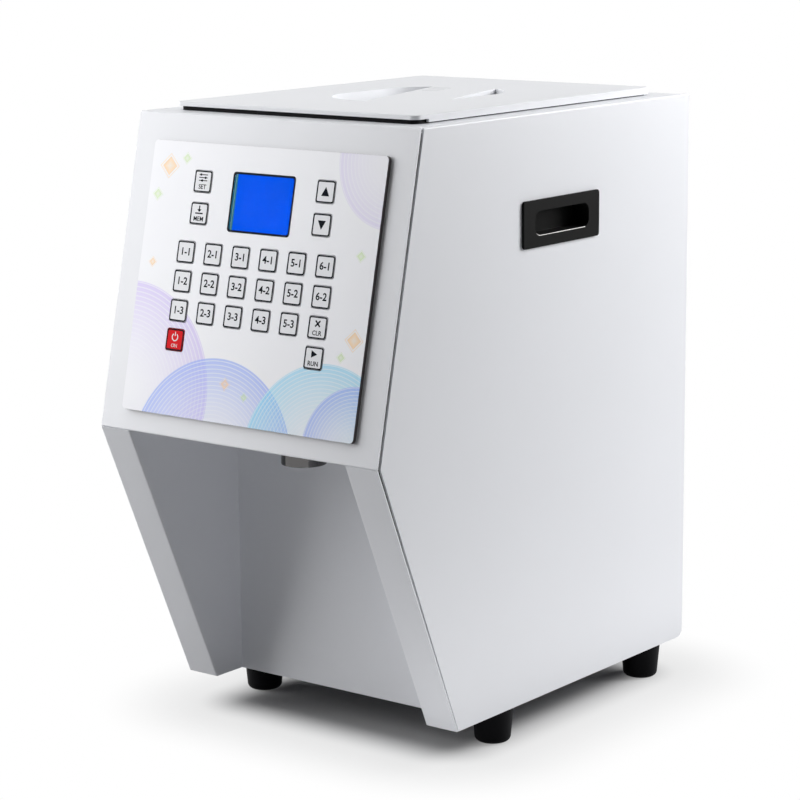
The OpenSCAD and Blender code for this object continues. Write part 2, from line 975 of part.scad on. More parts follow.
module hopper() {
    top = z_top - z_auger;
    deck_x = open_x - panel_gap;
    color("silver")
    difference() {
        union() {
            translate([0, 0, z_auger])
                extrude_y(y_hop0, y_hop1 - y_hop0)
                    hopper_section(trough_r + hopper_t, hopper_w / 2 + hopper_t, top - sheet_t / 2);
            translate([-deck_x, y_open0 + panel_gap, z_top - sheet_t])
                cube([2 * deck_x, y_open1 - y_open0 - 2 * panel_gap, sheet_t]);
        }
        translate([0, 0, z_auger])
            extrude_y(y_hop0 + hopper_t, hopper_l) hopper_section(trough_r, hopper_w / 2, top + over);
        along_y(y_hop0 - over, z_auger) cylinder(r = trough_r, h = hopper_t + 2 * over);
        along_y(y_hop1 - hopper_t - over, z_auger) cylinder(r = bush_r + fit_gap, h = hopper_t + 2 * over);
        for (y = [y_hop0, y_hop1 - hopper_t])
            along_y(y - over, z_agitator) cylinder(r = bush_r + fit_gap, h = hopper_t + 2 * over);
    }
}

module outlet_tube() {
    color("silver")
    difference() {
        union() {
            along_y(y_tube0, z_auger) cylinder(r = trough_r + hopper_t, h = y_hop0 - y_tube0);
            along_y(y_hop0 - hopper_t, z_auger) cylinder(r = trough_r + tube_flange, h = hopper_t);
            translate([0, y_drop, z_drop]) cylinder(r = nozzle_r, h = z_auger - z_drop);
        }
        along_y(y_tube0 + hopper_t, z_auger) cylinder(r = trough_r, h = y_hop0 - y_tube0);
        along_y(y_tube0 - over, z_auger) cylinder(r = bush_r + fit_gap, h = hopper_t + 2 * over);
        translate([0, y_drop, z_drop - over]) cylinder(r = nozzle_r - hopper_t, h = z_auger - z_drop);
    }
}

module outlet_nozzle() {
    color("dimgray")
    difference() {
        union() {
            translate([0, y_drop, z_nozzle]) cylinder(r = nozzle_r, h = z_drop - z_nozzle);
            translate([0, y_drop, z_ceiling + sheet_t])
                cylinder(r = nozzle_r + nozzle_flange, h = nozzle_flange_t);
        }
        translate([0, y_drop, z_nozzle - over]) cylinder(r = outlet_r, h = z_drop - z_nozzle + 2 * over);
    }
}

// Drive

y_core0 = y_tube0 + hopper_t + core_gap;
y_core1 = y_hop1 - hopper_t - core_gap;
y_shaft1 = y_plate + plate_t + shaft_tail;

module auger_shaft() {
    y0 = y_tube0 - bush_flange_t - shaft_nose;
    color("silver") {
        along_y(y0, z_auger) cylinder(r = shaft_r, h = y_shaft1 - y0);
        along_y(y_core0, z_auger) cylinder(r = core_r, h = y_core1 - y_core0);
    }
}

flight_turns = (y_core1 - y_core0 - flight_t) / auger_pitch;
flight_rings = ceil(flight_turns * flight_steps);
flight_in = core_r / cos(180 / flight_steps) + fit_gap;

function flight_point(i, r, a) =
    let (turn = 360 * flight_turns * i / flight_rings)
    [r * cos(turn), y_core0 + flight_t / 2 + auger_pitch * turn / 360 + a, z_auger + r * sin(turn)];

// A ribbon of four corners per ring, wound round the core
module auger_flight() {
    corners = [[flight_in, -1], [flight_r, -1], [flight_r, 1], [flight_in, 1]];
    points = [for (i = [0:flight_rings]) for (c = corners) flight_point(i, c[0], c[1] * flight_t / 2)];
    sides = [
        for (i = [0:flight_rings - 1])
            for (k = [0:3])
                let (a = 4 * i + k, b = 4 * i + (k + 1) % 4)
                each [[a, b, b + 4], [a, b + 4, a + 4]]
    ];
    last = 4 * flight_rings;
    ends = [[0, 3, 2], [0, 2, 1], [last, last + 1, last + 2], [last, last + 2, last + 3]];
    color("silver") polyhedron(points, concat(sides, ends));
}

// Involute gear outline, with a tooth centred on local X
function polar(r, a) = [r * cos(a), r * sin(a)];
function involute(a) = tan(a) * 180 / PI - a;
function half_angle(teeth, r) =
    let (pitch_r = gear_module * teeth / 2, base_r = pitch_r * cos(pressure_angle))
    90 / teeth - backlash / 4 / pitch_r * 180 / PI + involute(pressure_angle)
    - involute(acos(min(1, base_r / r)));

module gear_outline(teeth) {
    pitch_r = gear_module * teeth / 2;
    tip_r = pitch_r + gear_module;
    root_r = pitch_r - dedendum * gear_module;
    start_r = max(root_r, pitch_r * cos(pressure_angle));
    radii = [for (i = [0:flank_steps]) start_r + (tip_r - start_r) * i / flank_steps];
    polygon([
        for (tooth = [0:teeth - 1])
            let (mid = 360 * tooth / teeth)
            each concat(
                [polar(root_r, mid - half_angle(teeth, start_r))],
                [for (r = radii) polar(r, mid - half_angle(teeth, r))],
                [for (i = [flank_steps:-1:0]) polar(radii[i], mid + half_angle(teeth, radii[i]))],
                [polar(root_r, mid + half_angle(teeth, start_r))]
            )
    ]);
}

// Gear with a thinner web, round holes in it and a hub
module web_gear(teeth, z, phase) {
    root_r = gear_module * (teeth / 2 - dedendum);
    rim_r = root_r - gear_hub;
    hub_r = shaft_r + gear_hub;
    mid_r = (rim_r + hub_r) / 2;
    hole_r = min((rim_r - hub_r) / 2, mid_r * sin(180 / web_holes)) - web_margin;
    along_y(y_gear, z)
        rotate(phase)
            difference() {
                union() {
                    linear_extrude(gear_t) gear_outline(teeth);
                    translate([0, 0, -gear_hub_l]) cylinder(r = hub_r, h = gear_t + gear_hub_l);
                }
                for (side = [0, gear_t - (gear_t - web_t) / 2])
                    translate([0, 0, side])
                        difference() {
                            cylinder(r = rim_r, h = (gear_t - web_t) / 2);
                            cylinder(r = hub_r, h = gear_t);
                        }
                for (i = [0:web_holes - 1])
                    rotate(360 * i / web_holes)
                        translate([mid_r, 0, -over]) cylinder(r = hole_r, h = gear_t + 2 * over);
                translate([0, 0, -gear_hub_l - over])
                    cylinder(r = shaft_r + fit_gap, h = gear_t + gear_hub_l + 2 * over);
            }
}

module auger_gear() {
    color("ivory") web_gear(auger_teeth, z_auger, 0);
}

module agitator_gear() {
    color("ivory") web_gear(agitator_teeth, z_agitator, 180 / agitator_teeth);
}

module motor_pinion() {
    y0 = y_motor - motor_shaft_l;
    color("goldenrod") {
        along_y(y_gear, z_pinion)
            rotate(180 / pinion_teeth) linear_extrude(gear_t) gear_outline(pinion_teeth);
        along_y(y0, z_pinion) cylinder(r = motor_shaft_r, h = y_gear + gear_t + over - y0);
    }
}

// Shaft with rods through it, each turned from the last
module agitator() {
    y0 = y_hop0 - bush_flange_t - shaft_nose;
    step = (hopper_l - 2 * stir_margin) / (stir_rods - 1);
    color("silver")
    along_y(y0, z_agitator) {
        cylinder(r = shaft_r, h = y_shaft1 - y0);
        for (i = [0:stir_rods - 1])
            translate([0, 0, y_hop0 + hopper_t + stir_margin + i * step - y0])
                rotate([90, 0, i * stir_turn]) cylinder(r = stir_rod_r, h = 2 * stir_r, center = true);
    }
}

// Flanged bush in a wall of thickness l, its flange against the face at y
module bush(y, z, l, side) {
    difference() {
        union() {
            along_y(min(y, y + side * l), z) cylinder(r = bush_r, h = l);
            along_y(min(y, y - side * bush_flange_t), z) cylinder(r = bush_flange_r, h = bush_flange_t);
        }
        along_y(y - l - bush_flange_t, z) cylinder(r = shaft_r + run_gap, h = 2 * (l + bush_flange_t));
    }
}

module shaft_bushes() {
    color("peru") {
        bush(y_tube0, z_auger, hopper_t, 1);
        bush(y_hop1, z_auger, hopper_t, -1);
        bush(y_plate, z_auger, plate_t, 1);
        bush(y_hop0, z_agitator, hopper_t, 1);
        bush(y_hop1, z_agitator, hopper_t, -1);
        bush(y_plate, z_agitator, plate_t, 1);
    }
}

// Folded side view of the plate: feet at the floor and the top frame, and a ledge for the motor
module gear_plate_section() {
    z0 = z_base + sheet_t;
    z1 = z_top - 2 * sheet_t;
    y1 = y_plate + plate_t;
    toe = y1 - plate_foot;
    polygon([
        [y1, z0], [y1, z1], [toe, z1], [toe, z1 - plate_t],
        [y_plate, z1 - plate_t], [y_plate, z0 + plate_t], [toe, z0 + plate_t], [toe, z0]
    ]);
}

// Upright plate behind the gears, with a bent ledge in front of them that holds the motor
module gear_plate() {
    ledge_w = 2 * motor_head_r + ledge_gap;
    z_ledge = z_pinion - gear_module * pinion_teeth / 2 - ledge_gap - 2 * plate_t;
    color("lightsteelblue")
    difference() {
        union() {
            extrude_x(-plate_w / 2, plate_w) gear_plate_section();
            translate([-ledge_w / 2, y_motor, z_ledge]) cube([ledge_w, y_plate - y_motor + plate_t, plate_t]);
            translate([-ledge_w / 2, y_motor, z_ledge])
                cube([ledge_w, plate_t, z_pinion + motor_boss_r + ledge_gap - z_ledge]);
        }
        for (z = [z_auger, z_agitator])
            along_y(y_plate - over, z) cylinder(r = bush_r + fit_gap, h = plate_t + 2 * over);
        along_y(y_motor - over, z_pinion) cylinder(r = motor_boss_r + fit_gap, h = plate_t + 2 * over);
    }
}

module gear_motor() {
    y_can = y_motor - motor_head_l - motor_can_l;
    color("dimgray")
    difference() {
        union() {
            along_y(y_motor - over, z_pinion) cylinder(r = motor_boss_r, h = plate_t + over);
            along_y(y_motor - motor_head_l, z_pinion) cylinder(r = motor_head_r, h = motor_head_l);
            along_y(y_can, z_pinion) cylinder(r = motor_can_r, h = motor_can_l + over);
            translate([-motor_tab_w / 2, y_tab - motor_tab_w / 2, z_tab])
                cube([motor_tab_w, motor_tab_w, motor_can_r]);
        }
        along_y(y_motor - motor_shaft_l - over, z_pinion)
            cylinder(r = motor_shaft_r + run_gap, h = plate_t + motor_shaft_l + 2 * over);
    }
}

// Electrics

module power_supply() {
    z0 = z_base + sheet_t;
    color("lightgray") {
        translate([-supply_w / 2, y_supply, z0]) cube([supply_w, supply_d, supply_h]);
        translate([-supply_w / 2 - supply_lip, y_supply + supply_lip, z0])
            cube([supply_w + 2 * supply_lip, supply_d - 2 * supply_lip, supply_lip]);
    }
}

module socket_outline() {
    w = socket_w / 2;
    h = socket_h / 2;
    polygon([[-w, -h], [w, -h], [w, h - socket_chamfer], [w - socket_chamfer, h],
        [socket_chamfer - w, h], [-w, h - socket_chamfer]]);
}

// One housing with an appliance inlet and the bay of the rocker
module power_entry() {
    color([0.12, 0.12, 0.12])
    on_rear(entry_x, entry_z) {
        difference() {
            union() {
                linear_extrude(entry_flange_t) rounded(entry_w, entry_h, entry_r);
                translate([0, 0, -entry_depth])
                    linear_extrude(entry_depth + entry_flange_t / 2)
                        square([entry_body_w, entry_body_h], center = true);
            }
            translate([socket_x, 0, entry_flange_t - socket_depth])
                linear_extrude(socket_depth + over) socket_outline();
            translate([rocker_x, 0, entry_flange_t - bay_depth])
                linear_extrude(bay_depth + over)
                    square([rocker_w + 2 * panel_gap, 2 * (rocker_r + rocker_gap)], center = true);
            translate([rocker_x, 0, 0])
                rotate([0, 90, 0])
                    cylinder(r = rocker_pin_r + run_gap, h = pin_span + over, center = true);
        }
        for (i = [-1, 0, 1])
            translate([
                socket_x + i * pin_pitch - pin_w / 2,
                (1 - abs(i)) * pin_rise - (pin_h + pin_rise) / 2,
                entry_flange_t - socket_depth - over
            ])
                cube([pin_w, pin_h, pin_l + over]);
    }
}

// Rocker with round ends about its pin and a shallow V face, resting on its off side
module rocker_section() {
    reach = rocker_r + over;
    edge_h = rocker_mid_h + reach * tan(rocker_tilt);
    intersection() {
        circle(rocker_r);
        polygon([
            [-reach, -rocker_back], [reach, -rocker_back],
            [reach, edge_h], [0, rocker_mid_h], [-reach, edge_h]
        ]);
    }
}

module power_rocker() {
    color([0.7, 0.05, 0.05])
    on_rear(entry_x, entry_z)
        translate([rocker_x, 0, 0])
            rotate([-rocker_tilt, 0, 0]) {
                extrude_x(-rocker_w / 2, rocker_w) rocker_section();
                rotate([0, 90, 0]) cylinder(r = rocker_pin_r, h = pin_span, center = true);
            }
}

function unit(v) = v / norm(v);
function tangent(route, i) =
    unit(route[min(i + 1, len(route) - 1)] - route[max(i - 1, 0)]);

// A tube of flat sides along a route of points
module lead(route) {
    n = lead_sides;
    points = [
        for (i = [0:len(route) - 1])
            let (t = tangent(route, i), u = unit(cross(lead_ref, t)), v = cross(t, u))
            for (k = [0:n - 1])
                route[i] + lead_r * (cos(360 * k / n) * u + sin(360 * k / n) * v)
    ];
    sides = [
        for (i = [0:len(route) - 2])
            for (k = [0:n - 1])
                let (a = n * i + k, b = n * i + (k + 1) % n)
                each [[a, a + n, b + n], [a, b + n, b]]
    ];
    last = n * (len(route) - 1);
    ends = [
        for (k = [1:n - 2])
            each [[0, k, k + 1], [last, last + k + 1, last + k]]
    ];
    polyhedron(points, concat(sides, ends));
}

module wiring() {
    color([0.1, 0.1, 0.1])
    for (route = [inlet_lead, motor_lead, board_lead])
        lead(route);
}

base_plate();
side_panel_left();
side_panel_right();
rear_panel();
front_fascia();
cup_bay_liner();
top_frame();
rubber_feet();
foot_screws();
housing_screws();
carry_handle_left();
carry_handle_right();
panel_overlay();
display_window();
display_module();
control_board();
board_standoffs();
tact_switches();
hopper();
lid();
lid_gasket();
outlet_tube();
outlet_nozzle();
auger_shaft();
auger_flight();
auger_gear();
agitator();
agitator_gear();
shaft_bushes();
gear_plate();
gear_motor();
motor_pinion();
power_supply();
power_entry();
power_rocker();
wiring();
for (k = KEYS)
    key(k);
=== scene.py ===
"""Countertop powder dispenser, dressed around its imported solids.

The front faces -Y, +Z is up, lengths are in metres.
"""
import json
import math

import bmesh
import bpy
from mathutils import Matrix, Vector


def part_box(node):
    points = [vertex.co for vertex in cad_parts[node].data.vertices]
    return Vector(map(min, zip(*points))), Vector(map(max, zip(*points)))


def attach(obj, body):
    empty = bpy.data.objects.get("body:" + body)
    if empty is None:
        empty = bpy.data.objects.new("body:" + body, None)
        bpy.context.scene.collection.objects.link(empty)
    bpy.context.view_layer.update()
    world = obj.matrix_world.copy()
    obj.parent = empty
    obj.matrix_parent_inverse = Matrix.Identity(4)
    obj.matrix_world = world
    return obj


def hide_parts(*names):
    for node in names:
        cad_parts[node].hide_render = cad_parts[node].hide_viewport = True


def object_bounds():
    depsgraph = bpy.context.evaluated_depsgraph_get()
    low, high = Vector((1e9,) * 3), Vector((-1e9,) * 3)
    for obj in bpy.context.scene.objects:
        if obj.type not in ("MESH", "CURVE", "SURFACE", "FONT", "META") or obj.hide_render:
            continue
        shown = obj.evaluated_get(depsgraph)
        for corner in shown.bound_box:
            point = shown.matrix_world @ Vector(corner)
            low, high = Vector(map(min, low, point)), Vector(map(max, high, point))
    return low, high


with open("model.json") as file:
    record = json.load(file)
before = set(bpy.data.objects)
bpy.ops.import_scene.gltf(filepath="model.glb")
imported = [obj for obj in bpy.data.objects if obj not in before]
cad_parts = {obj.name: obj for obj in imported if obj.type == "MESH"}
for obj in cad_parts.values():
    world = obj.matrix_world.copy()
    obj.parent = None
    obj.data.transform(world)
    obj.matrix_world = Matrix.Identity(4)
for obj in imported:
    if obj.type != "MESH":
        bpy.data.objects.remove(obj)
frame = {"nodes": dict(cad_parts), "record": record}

cad_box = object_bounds()
nodes = frame["nodes"]

MM = 0.001
INK_T = 0.04 * MM
INK_LIFT = 0.01 * MM

# Corners of the side outline that the folds and the trim follow
BROW = Vector((0, -140 * MM, 442 * MM))
NOSE = Vector((0, -189 * MM, 225 * MM))
LEG_FOOT = Vector((0, -103 * MM, 26 * MM))

# The panel's own frame: Y climbs the slope from the top front edge, Z leaves the fascia
UP_SLOPE = (BROW - NOSE).normalized()
ACROSS = Vector((1, 0, 0))
PANEL_TURN = Matrix((ACROSS, UP_SLOPE, ACROSS.cross(UP_SLOPE))).transposed()
PANEL = Matrix.Translation(BROW) @ PANEL_TURN.to_4x4()


def outer_face(name):
    """Width, height and middle of a node's outermost face on the slope, in the panel's frame."""
    flatten = PANEL.inverted()
    points = [flatten @ v.co for v in nodes[name].data.vertices]
    top = max(p.z for p in points)
    face = [p for p in points if top - p.z < INK_LIFT]
    low = Vector([min(p[i] for p in face) for i in range(3)])
    high = Vector([max(p[i] for p in face) for i in range(3)])
    return high.x - low.x, high.y - low.y, (low + high) / 2


# Node helpers

def add(tree, kind, **settings):
    made = tree.nodes.new(kind)
    for key, value in settings.items():
        setattr(made, key, value)
    return made


def feed(tree, socket, value):
    if isinstance(value, bpy.types.NodeSocket):
        tree.links.new(value, socket)
    else:
        socket.default_value = value


def calc(tree, operation, *values, clamp=False):
    made = add(tree, "ShaderNodeMath", operation=operation, use_clamp=clamp)
    for socket, value in zip(made.inputs, values):
        feed(tree, socket, value)
    return made.outputs[0]


def vector_calc(tree, operation, *values, out="Vector"):
    made = add(tree, "ShaderNodeVectorMath", operation=operation)
    for socket, value in zip(made.inputs, values):
        feed(tree, socket, value)
    return made.outputs[out]


def scaled(tree, colour, amount):
    made = add(tree, "ShaderNodeVectorMath", operation="SCALE")
    feed(tree, made.inputs[0], colour)
    feed(tree, made.inputs["Scale"], amount)
    return made.outputs["Vector"]


def blend(tree, factor, a, b):
    made = add(tree, "ShaderNodeMix", data_type="RGBA")
    feed(tree, made.inputs[0], factor)
    feed(tree, made.inputs[6], a)
    feed(tree, made.inputs[7], b)
    return made.outputs[2]


def ramp(tree, value, low, high):
    made = add(tree, "ShaderNodeMapRange", interpolation_type="SMOOTHSTEP")
    feed(tree, made.inputs["Value"], value)
    feed(tree, made.inputs["From Min"], low)
    feed(tree, made.inputs["From Max"], high)
    return made.outputs["Result"]


def noise(tree, vector, scale, detail=2.0, roughness=0.5):
    made = add(tree, "ShaderNodeTexNoise")
    feed(tree, made.inputs["Vector"], vector)
    feed(tree, made.inputs["Scale"], scale)
    made.inputs["Detail"].default_value = detail
    made.inputs["Roughness"].default_value = roughness
    return made.outputs["Fac"]


FLOAT = "NodeSocketFloat"
VECTOR = "NodeSocketVector"


def new_group(name, inputs, outputs):
    """An empty shader group with float or vector inputs and float outputs."""
    tree = bpy.data.node_groups.new(name, "ShaderNodeTree")
    for label, kind, default in inputs:
        socket = tree.interface.new_socket(label, in_out="INPUT", socket_type=kind)
        if default is not None:
            socket.default_value = default
    for label in outputs:
        tree.interface.new_socket(label, in_out="OUTPUT", socket_type=FLOAT)
    return tree, add(tree, "NodeGroupInput").outputs, add(tree, "NodeGroupOutput").inputs


def place(tree, kind, **values):
    made = add(tree, "ShaderNodeGroup", node_tree=kind)
    for label, value in values.items():
        feed(tree, made.inputs[label.replace("_", " ")], value)
    return made.outputs


# Surface effects that the finishes share

def make_sprayed_skin():
    """Orange peel of a sprayed coat: a fine height, a slow change of tone and of gloss."""
    tree, given, out = new_group(
        "sprayed_skin",
        [("Vector", VECTOR, None), ("Peel", FLOAT, 700.0), ("Tone", FLOAT, 0.03), ("Gloss", FLOAT, 0.06),
         ("Roughness", FLOAT, 0.4)],
        ["Tint", "Roughness", "Height"],
    )
    peel = noise(tree, given["Vector"], given["Peel"], 2.0)
    slow = noise(tree, given["Vector"], 9.0, 3.0)
    haze = noise(tree, given["Vector"], 40.0, 4.0)
    tone = calc(tree, "MULTIPLY", calc(tree, "SUBTRACT", slow, 0.5), given["Tone"])
    gloss = calc(tree, "MULTIPLY", calc(tree, "SUBTRACT", haze, 0.5), given["Gloss"])
    feed(tree, out["Tint"], calc(tree, "ADD", tone, 1.0))
    feed(tree, out["Roughness"], calc(tree, "ADD", gloss, given["Roughness"]))
    feed(tree, out["Height"], peel)
    return tree


def make_brushed_lines():
    """Fine lines along one direction: the vector is stretched before it comes in."""
    tree, given, out = new_group(
        "brushed_lines",
        [("Vector", VECTOR, None), ("Fineness", FLOAT, 300.0), ("Roughness", FLOAT, 0.3),
         ("Spread", FLOAT, 0.12)],
        ["Tint", "Roughness", "Height"],
    )
    lines = noise(tree, given["Vector"], given["Fineness"], 3.0, 0.6)
    broad = noise(tree, given["Vector"], calc(tree, "MULTIPLY", given["Fineness"], 0.12), 2.0)
    mixed = calc(tree, "ADD", calc(tree, "MULTIPLY", lines, 0.7), calc(tree, "MULTIPLY", broad, 0.3))
    centred = calc(tree, "SUBTRACT", mixed, 0.5)
    feed(tree, out["Tint"], calc(tree, "ADD", calc(tree, "MULTIPLY", centred, 0.25), 1.0))
    rough = calc(tree, "MULTIPLY", centred, given["Spread"])
    feed(tree, out["Roughness"], calc(tree, "ADD", rough, given["Roughness"]))
    feed(tree, out["Height"], lines)
    return tree


def make_moulded_grain():
    """Pebbled skin of moulded plastic or rubber."""
    tree, given, out = new_group(
        "moulded_grain",
        [("Vector", VECTOR, None), ("Fineness", FLOAT, 1500.0), ("Roughness", FLOAT, 0.45)],
        ["Tint", "Roughness", "Height"],
    )
    cells = add(tree, "ShaderNodeTexVoronoi", feature="SMOOTH_F1")
    feed(tree, cells.inputs["Vector"], given["Vector"])
    feed(tree, cells.inputs["Scale"], given["Fineness"])
    dust = calc(tree, "SUBTRACT", noise(tree, given["Vector"], 60.0, 4.0), 0.5)
    feed(tree, out["Tint"], calc(tree, "ADD", calc(tree, "MULTIPLY", dust, 0.3), 1.0))
    feed(tree, out["Roughness"], calc(tree, "ADD", calc(tree, "MULTIPLY", dust, 0.15), given["Roughness"]))
    feed(tree, out["Height"], cells.outputs["Distance"])
    return tree


PRINT_PLACE = [(label, FLOAT, 0.0) for label in ("U", "V", "At U", "At V")]


def make_rings_print():
    """A printed disc: a wash that gathers towards its rim, and fine rings inside it."""
    tree, given, out = new_group(
        "rings_print",
        PRINT_PLACE + [("Radius", FLOAT, 0.06), ("Pitch", FLOAT, 0.003)],
        ["Wash", "Rings"],
    )
    du = calc(tree, "SUBTRACT", given["U"], given["At U"])
    dv = calc(tree, "SUBTRACT", given["V"], given["At V"])
    square = calc(tree, "ADD", calc(tree, "MULTIPLY", du, du), calc(tree, "MULTIPLY", dv, dv))
    far = calc(tree, "SQRT", square)
    part = calc(tree, "DIVIDE", far, given["Radius"])
    inside = calc(tree, "SUBTRACT", 1.0, ramp(tree, part, 0.99, 1.0))
    saw = calc(tree, "PINGPONG", calc(tree, "DIVIDE", far, given["Pitch"]), 0.5)
    ring = calc(tree, "SUBTRACT", 1.0, ramp(tree, saw, 0.06, 0.18))
    feed(tree, out["Wash"], calc(tree, "MULTIPLY", inside, calc(tree, "POWER", part, 1.8)))
    feed(tree, out["Rings"], calc(tree, "MULTIPLY", calc(tree, "MULTIPLY", ring, inside), part))
    return tree


def make_diamond_print():
    """A printed diamond with a paler core and a thin line round it."""
    tree, given, out = new_group(
        "diamond_print",
        PRINT_PLACE + [("Radius", FLOAT, 0.005)],
        ["Mask"],
    )
    du = calc(tree, "ABSOLUTE", calc(tree, "SUBTRACT", given["U"], given["At U"]))
    dv = calc(tree, "ABSOLUTE", calc(tree, "SUBTRACT", given["V"], given["At V"]))
    part = calc(tree, "DIVIDE", calc(tree, "ADD", du, dv), given["Radius"])
    body = calc(tree, "SUBTRACT", 1.0, ramp(tree, part, 0.70, 0.76))
    core = calc(tree, "ADD", calc(tree, "MULTIPLY", ramp(tree, part, 0.0, 0.7), 0.5), 0.5)
    past = calc(tree, "SUBTRACT", 1.0, ramp(tree, part, 0.96, 1.0))
    line = calc(tree, "MULTIPLY", ramp(tree, part, 0.86, 0.90), past)
    filled = calc(tree, "MULTIPLY", body, core)
    mask = calc(tree, "ADD", filled, calc(tree, "MULTIPLY", line, 0.6), clamp=True)
    feed(tree, out["Mask"], mask)
    return tree


SKIN = make_sprayed_skin()
BRUSHED = make_brushed_lines()
GRAIN = make_moulded_grain()
RINGS = make_rings_print()
DIAMOND = make_diamond_print()


# Finishes

COAT_DEPTH = 0.2 * MM
GRAIN_DEPTH = 0.1 * MM


def new_finish(name):
    mat = bpy.data.materials.new(name)
    mat.use_nodes = True
    tree = mat.node_tree
    shader = tree.nodes["Principled BSDF"]
    where = add(tree, "ShaderNodeTexCoord").outputs["Object"]
    return mat, tree, shader, where


def bump(tree, shader, height, strength, depth):
    made = add(tree, "ShaderNodeBump")
    made.inputs["Strength"].default_value = strength
    made.inputs["Distance"].default_value = depth
    feed(tree, made.inputs["Height"], height)
    feed(tree, shader.inputs["Normal"], made.outputs["Normal"])


def sprayed(name, colour, roughness, peel=700.0, strength=0.12, gloss=0.5):
    mat, tree, shader, where = new_finish(name)
    shader.inputs["Specular IOR Level"].default_value = gloss
    got = place(tree, SKIN, Vector=where, Peel=peel, Roughness=roughness)
    feed(tree, shader.inputs["Base Color"], scaled(tree, colour, got["Tint"]))
    feed(tree, shader.inputs["Roughness"], got["Roughness"])
    bump(tree, shader, got["Height"], strength, COAT_DEPTH)
    return mat


def brushed(name, colour, roughness, stretch, fineness=300.0, spread=0.12):
    mat, tree, shader, where = new_finish(name)
    lines = vector_calc(tree, "MULTIPLY", where, stretch)
    got = place(tree, BRUSHED, Vector=lines, Fineness=fineness, Roughness=roughness, Spread=spread)
    feed(tree, shader.inputs["Base Color"], scaled(tree, colour, got["Tint"]))
    feed(tree, shader.inputs["Roughness"], got["Roughness"])
    shader.inputs["Metallic"].default_value = 1.0
    bump(tree, shader, got["Height"], 0.08, GRAIN_DEPTH)
    return mat


def moulded(name, colour, roughness, fineness=1500.0, strength=0.15, gloss=0.5):
    mat, tree, shader, where = new_finish(name)
    shader.inputs["Specular IOR Level"].default_value = gloss
    got = place(tree, GRAIN, Vector=where, Fineness=fineness, Roughness=roughness)
    feed(tree, shader.inputs["Base Color"], scaled(tree, colour, got["Tint"]))
    feed(tree, shader.inputs["Roughness"], got["Roughness"])
    bump(tree, shader, got["Height"], strength, GRAIN_DEPTH)
    return mat


LILAC = (0.58, 0.47, 0.88, 1)
BLUE = (0.24, 0.38, 0.92, 1)
CYAN = (0.20, 0.66, 0.92, 1)
ORANGE = (0.93, 0.56, 0.17, 1)
GREEN = (0.55, 0.76, 0.30, 1)
PALE_LINE = (0.90, 0.91, 0.96, 1)
PANEL_WHITE = (0.885, 0.893, 0.930)
RING_WEIGHT = 0.55
DIAMOND_WEIGHT = 0.7


def printed_panel():
    """Satin white panel with ringed discs at its corners and a few small diamonds."""
    mat, tree, shader, where = new_finish("printed_panel")
    u = vector_calc(tree, "DOT_PRODUCT", where, ACROSS, out="Value")
    climb = vector_calc(tree, "DOT_PRODUCT", where, UP_SLOPE, out="Value")
    v = calc(tree, "SUBTRACT", climb, BROW.dot(UP_SLOPE))
    got = place(tree, SKIN, Vector=where, Peel=420.0, Roughness=0.33)
    colour = scaled(tree, PANEL_WHITE, got["Tint"])
    discs = [
        (-104, -196, 78, 3.2, LILAC, 0.75), (-18, -236, 72, 2.8, BLUE, 0.80),
        (76, -224, 66, 2.6, CYAN, 0.75), (104, -214, 44, 2.4, BLUE, 0.75),
        (108, -22, 46, 3.0, LILAC, 0.38),
    ]
    for at_u, at_v, radius, pitch, dye, weight in discs:
        disc = place(tree, RINGS, U=u, V=v, At_U=at_u * MM, At_V=at_v * MM, Radius=radius * MM,
                     Pitch=pitch * MM)
        colour = blend(tree, calc(tree, "MULTIPLY", disc["Wash"], weight), colour, dye)
        colour = blend(tree, calc(tree, "MULTIPLY", disc["Rings"], RING_WEIGHT), colour, PALE_LINE)
    diamonds = [
        (-86, -37, 9, ORANGE), (-71, -31, 4.5, GREEN), (-94, -57, 5, GREEN), (-91, -104, 4, ORANGE),
        (90, -86, 4.5, GREEN), (93, -141, 8, ORANGE), (84, -153, 4, GREEN), (-12, -181, 5, ORANGE),
        (6, -188, 3.5, GREEN),
    ]
    for at_u, at_v, radius, dye in diamonds:
        shape = place(tree, DIAMOND, U=u, V=v, At_U=at_u * MM, At_V=at_v * MM, Radius=radius * MM)
        colour = blend(tree, calc(tree, "MULTIPLY", shape["Mask"], DIAMOND_WEIGHT), colour, dye)
    feed(tree, shader.inputs["Base Color"], colour)
    feed(tree, shader.inputs["Roughness"], got["Roughness"])
    bump(tree, shader, got["Height"], 0.04, GRAIN_DEPTH)
    return mat


SCREEN_EDGE_X = -25.2 * MM
SCREEN_EDGE_BLUR = 0.3 * MM
# Painted glow: dim teal light given to the unlit recessed strip at the screen's left edge
SCREEN_EDGE_PAINTED_GLOW = (0.045, 0.20, 0.22, 1)
SCREEN_LIT = (0.0, 0.083, 0.83, 1)


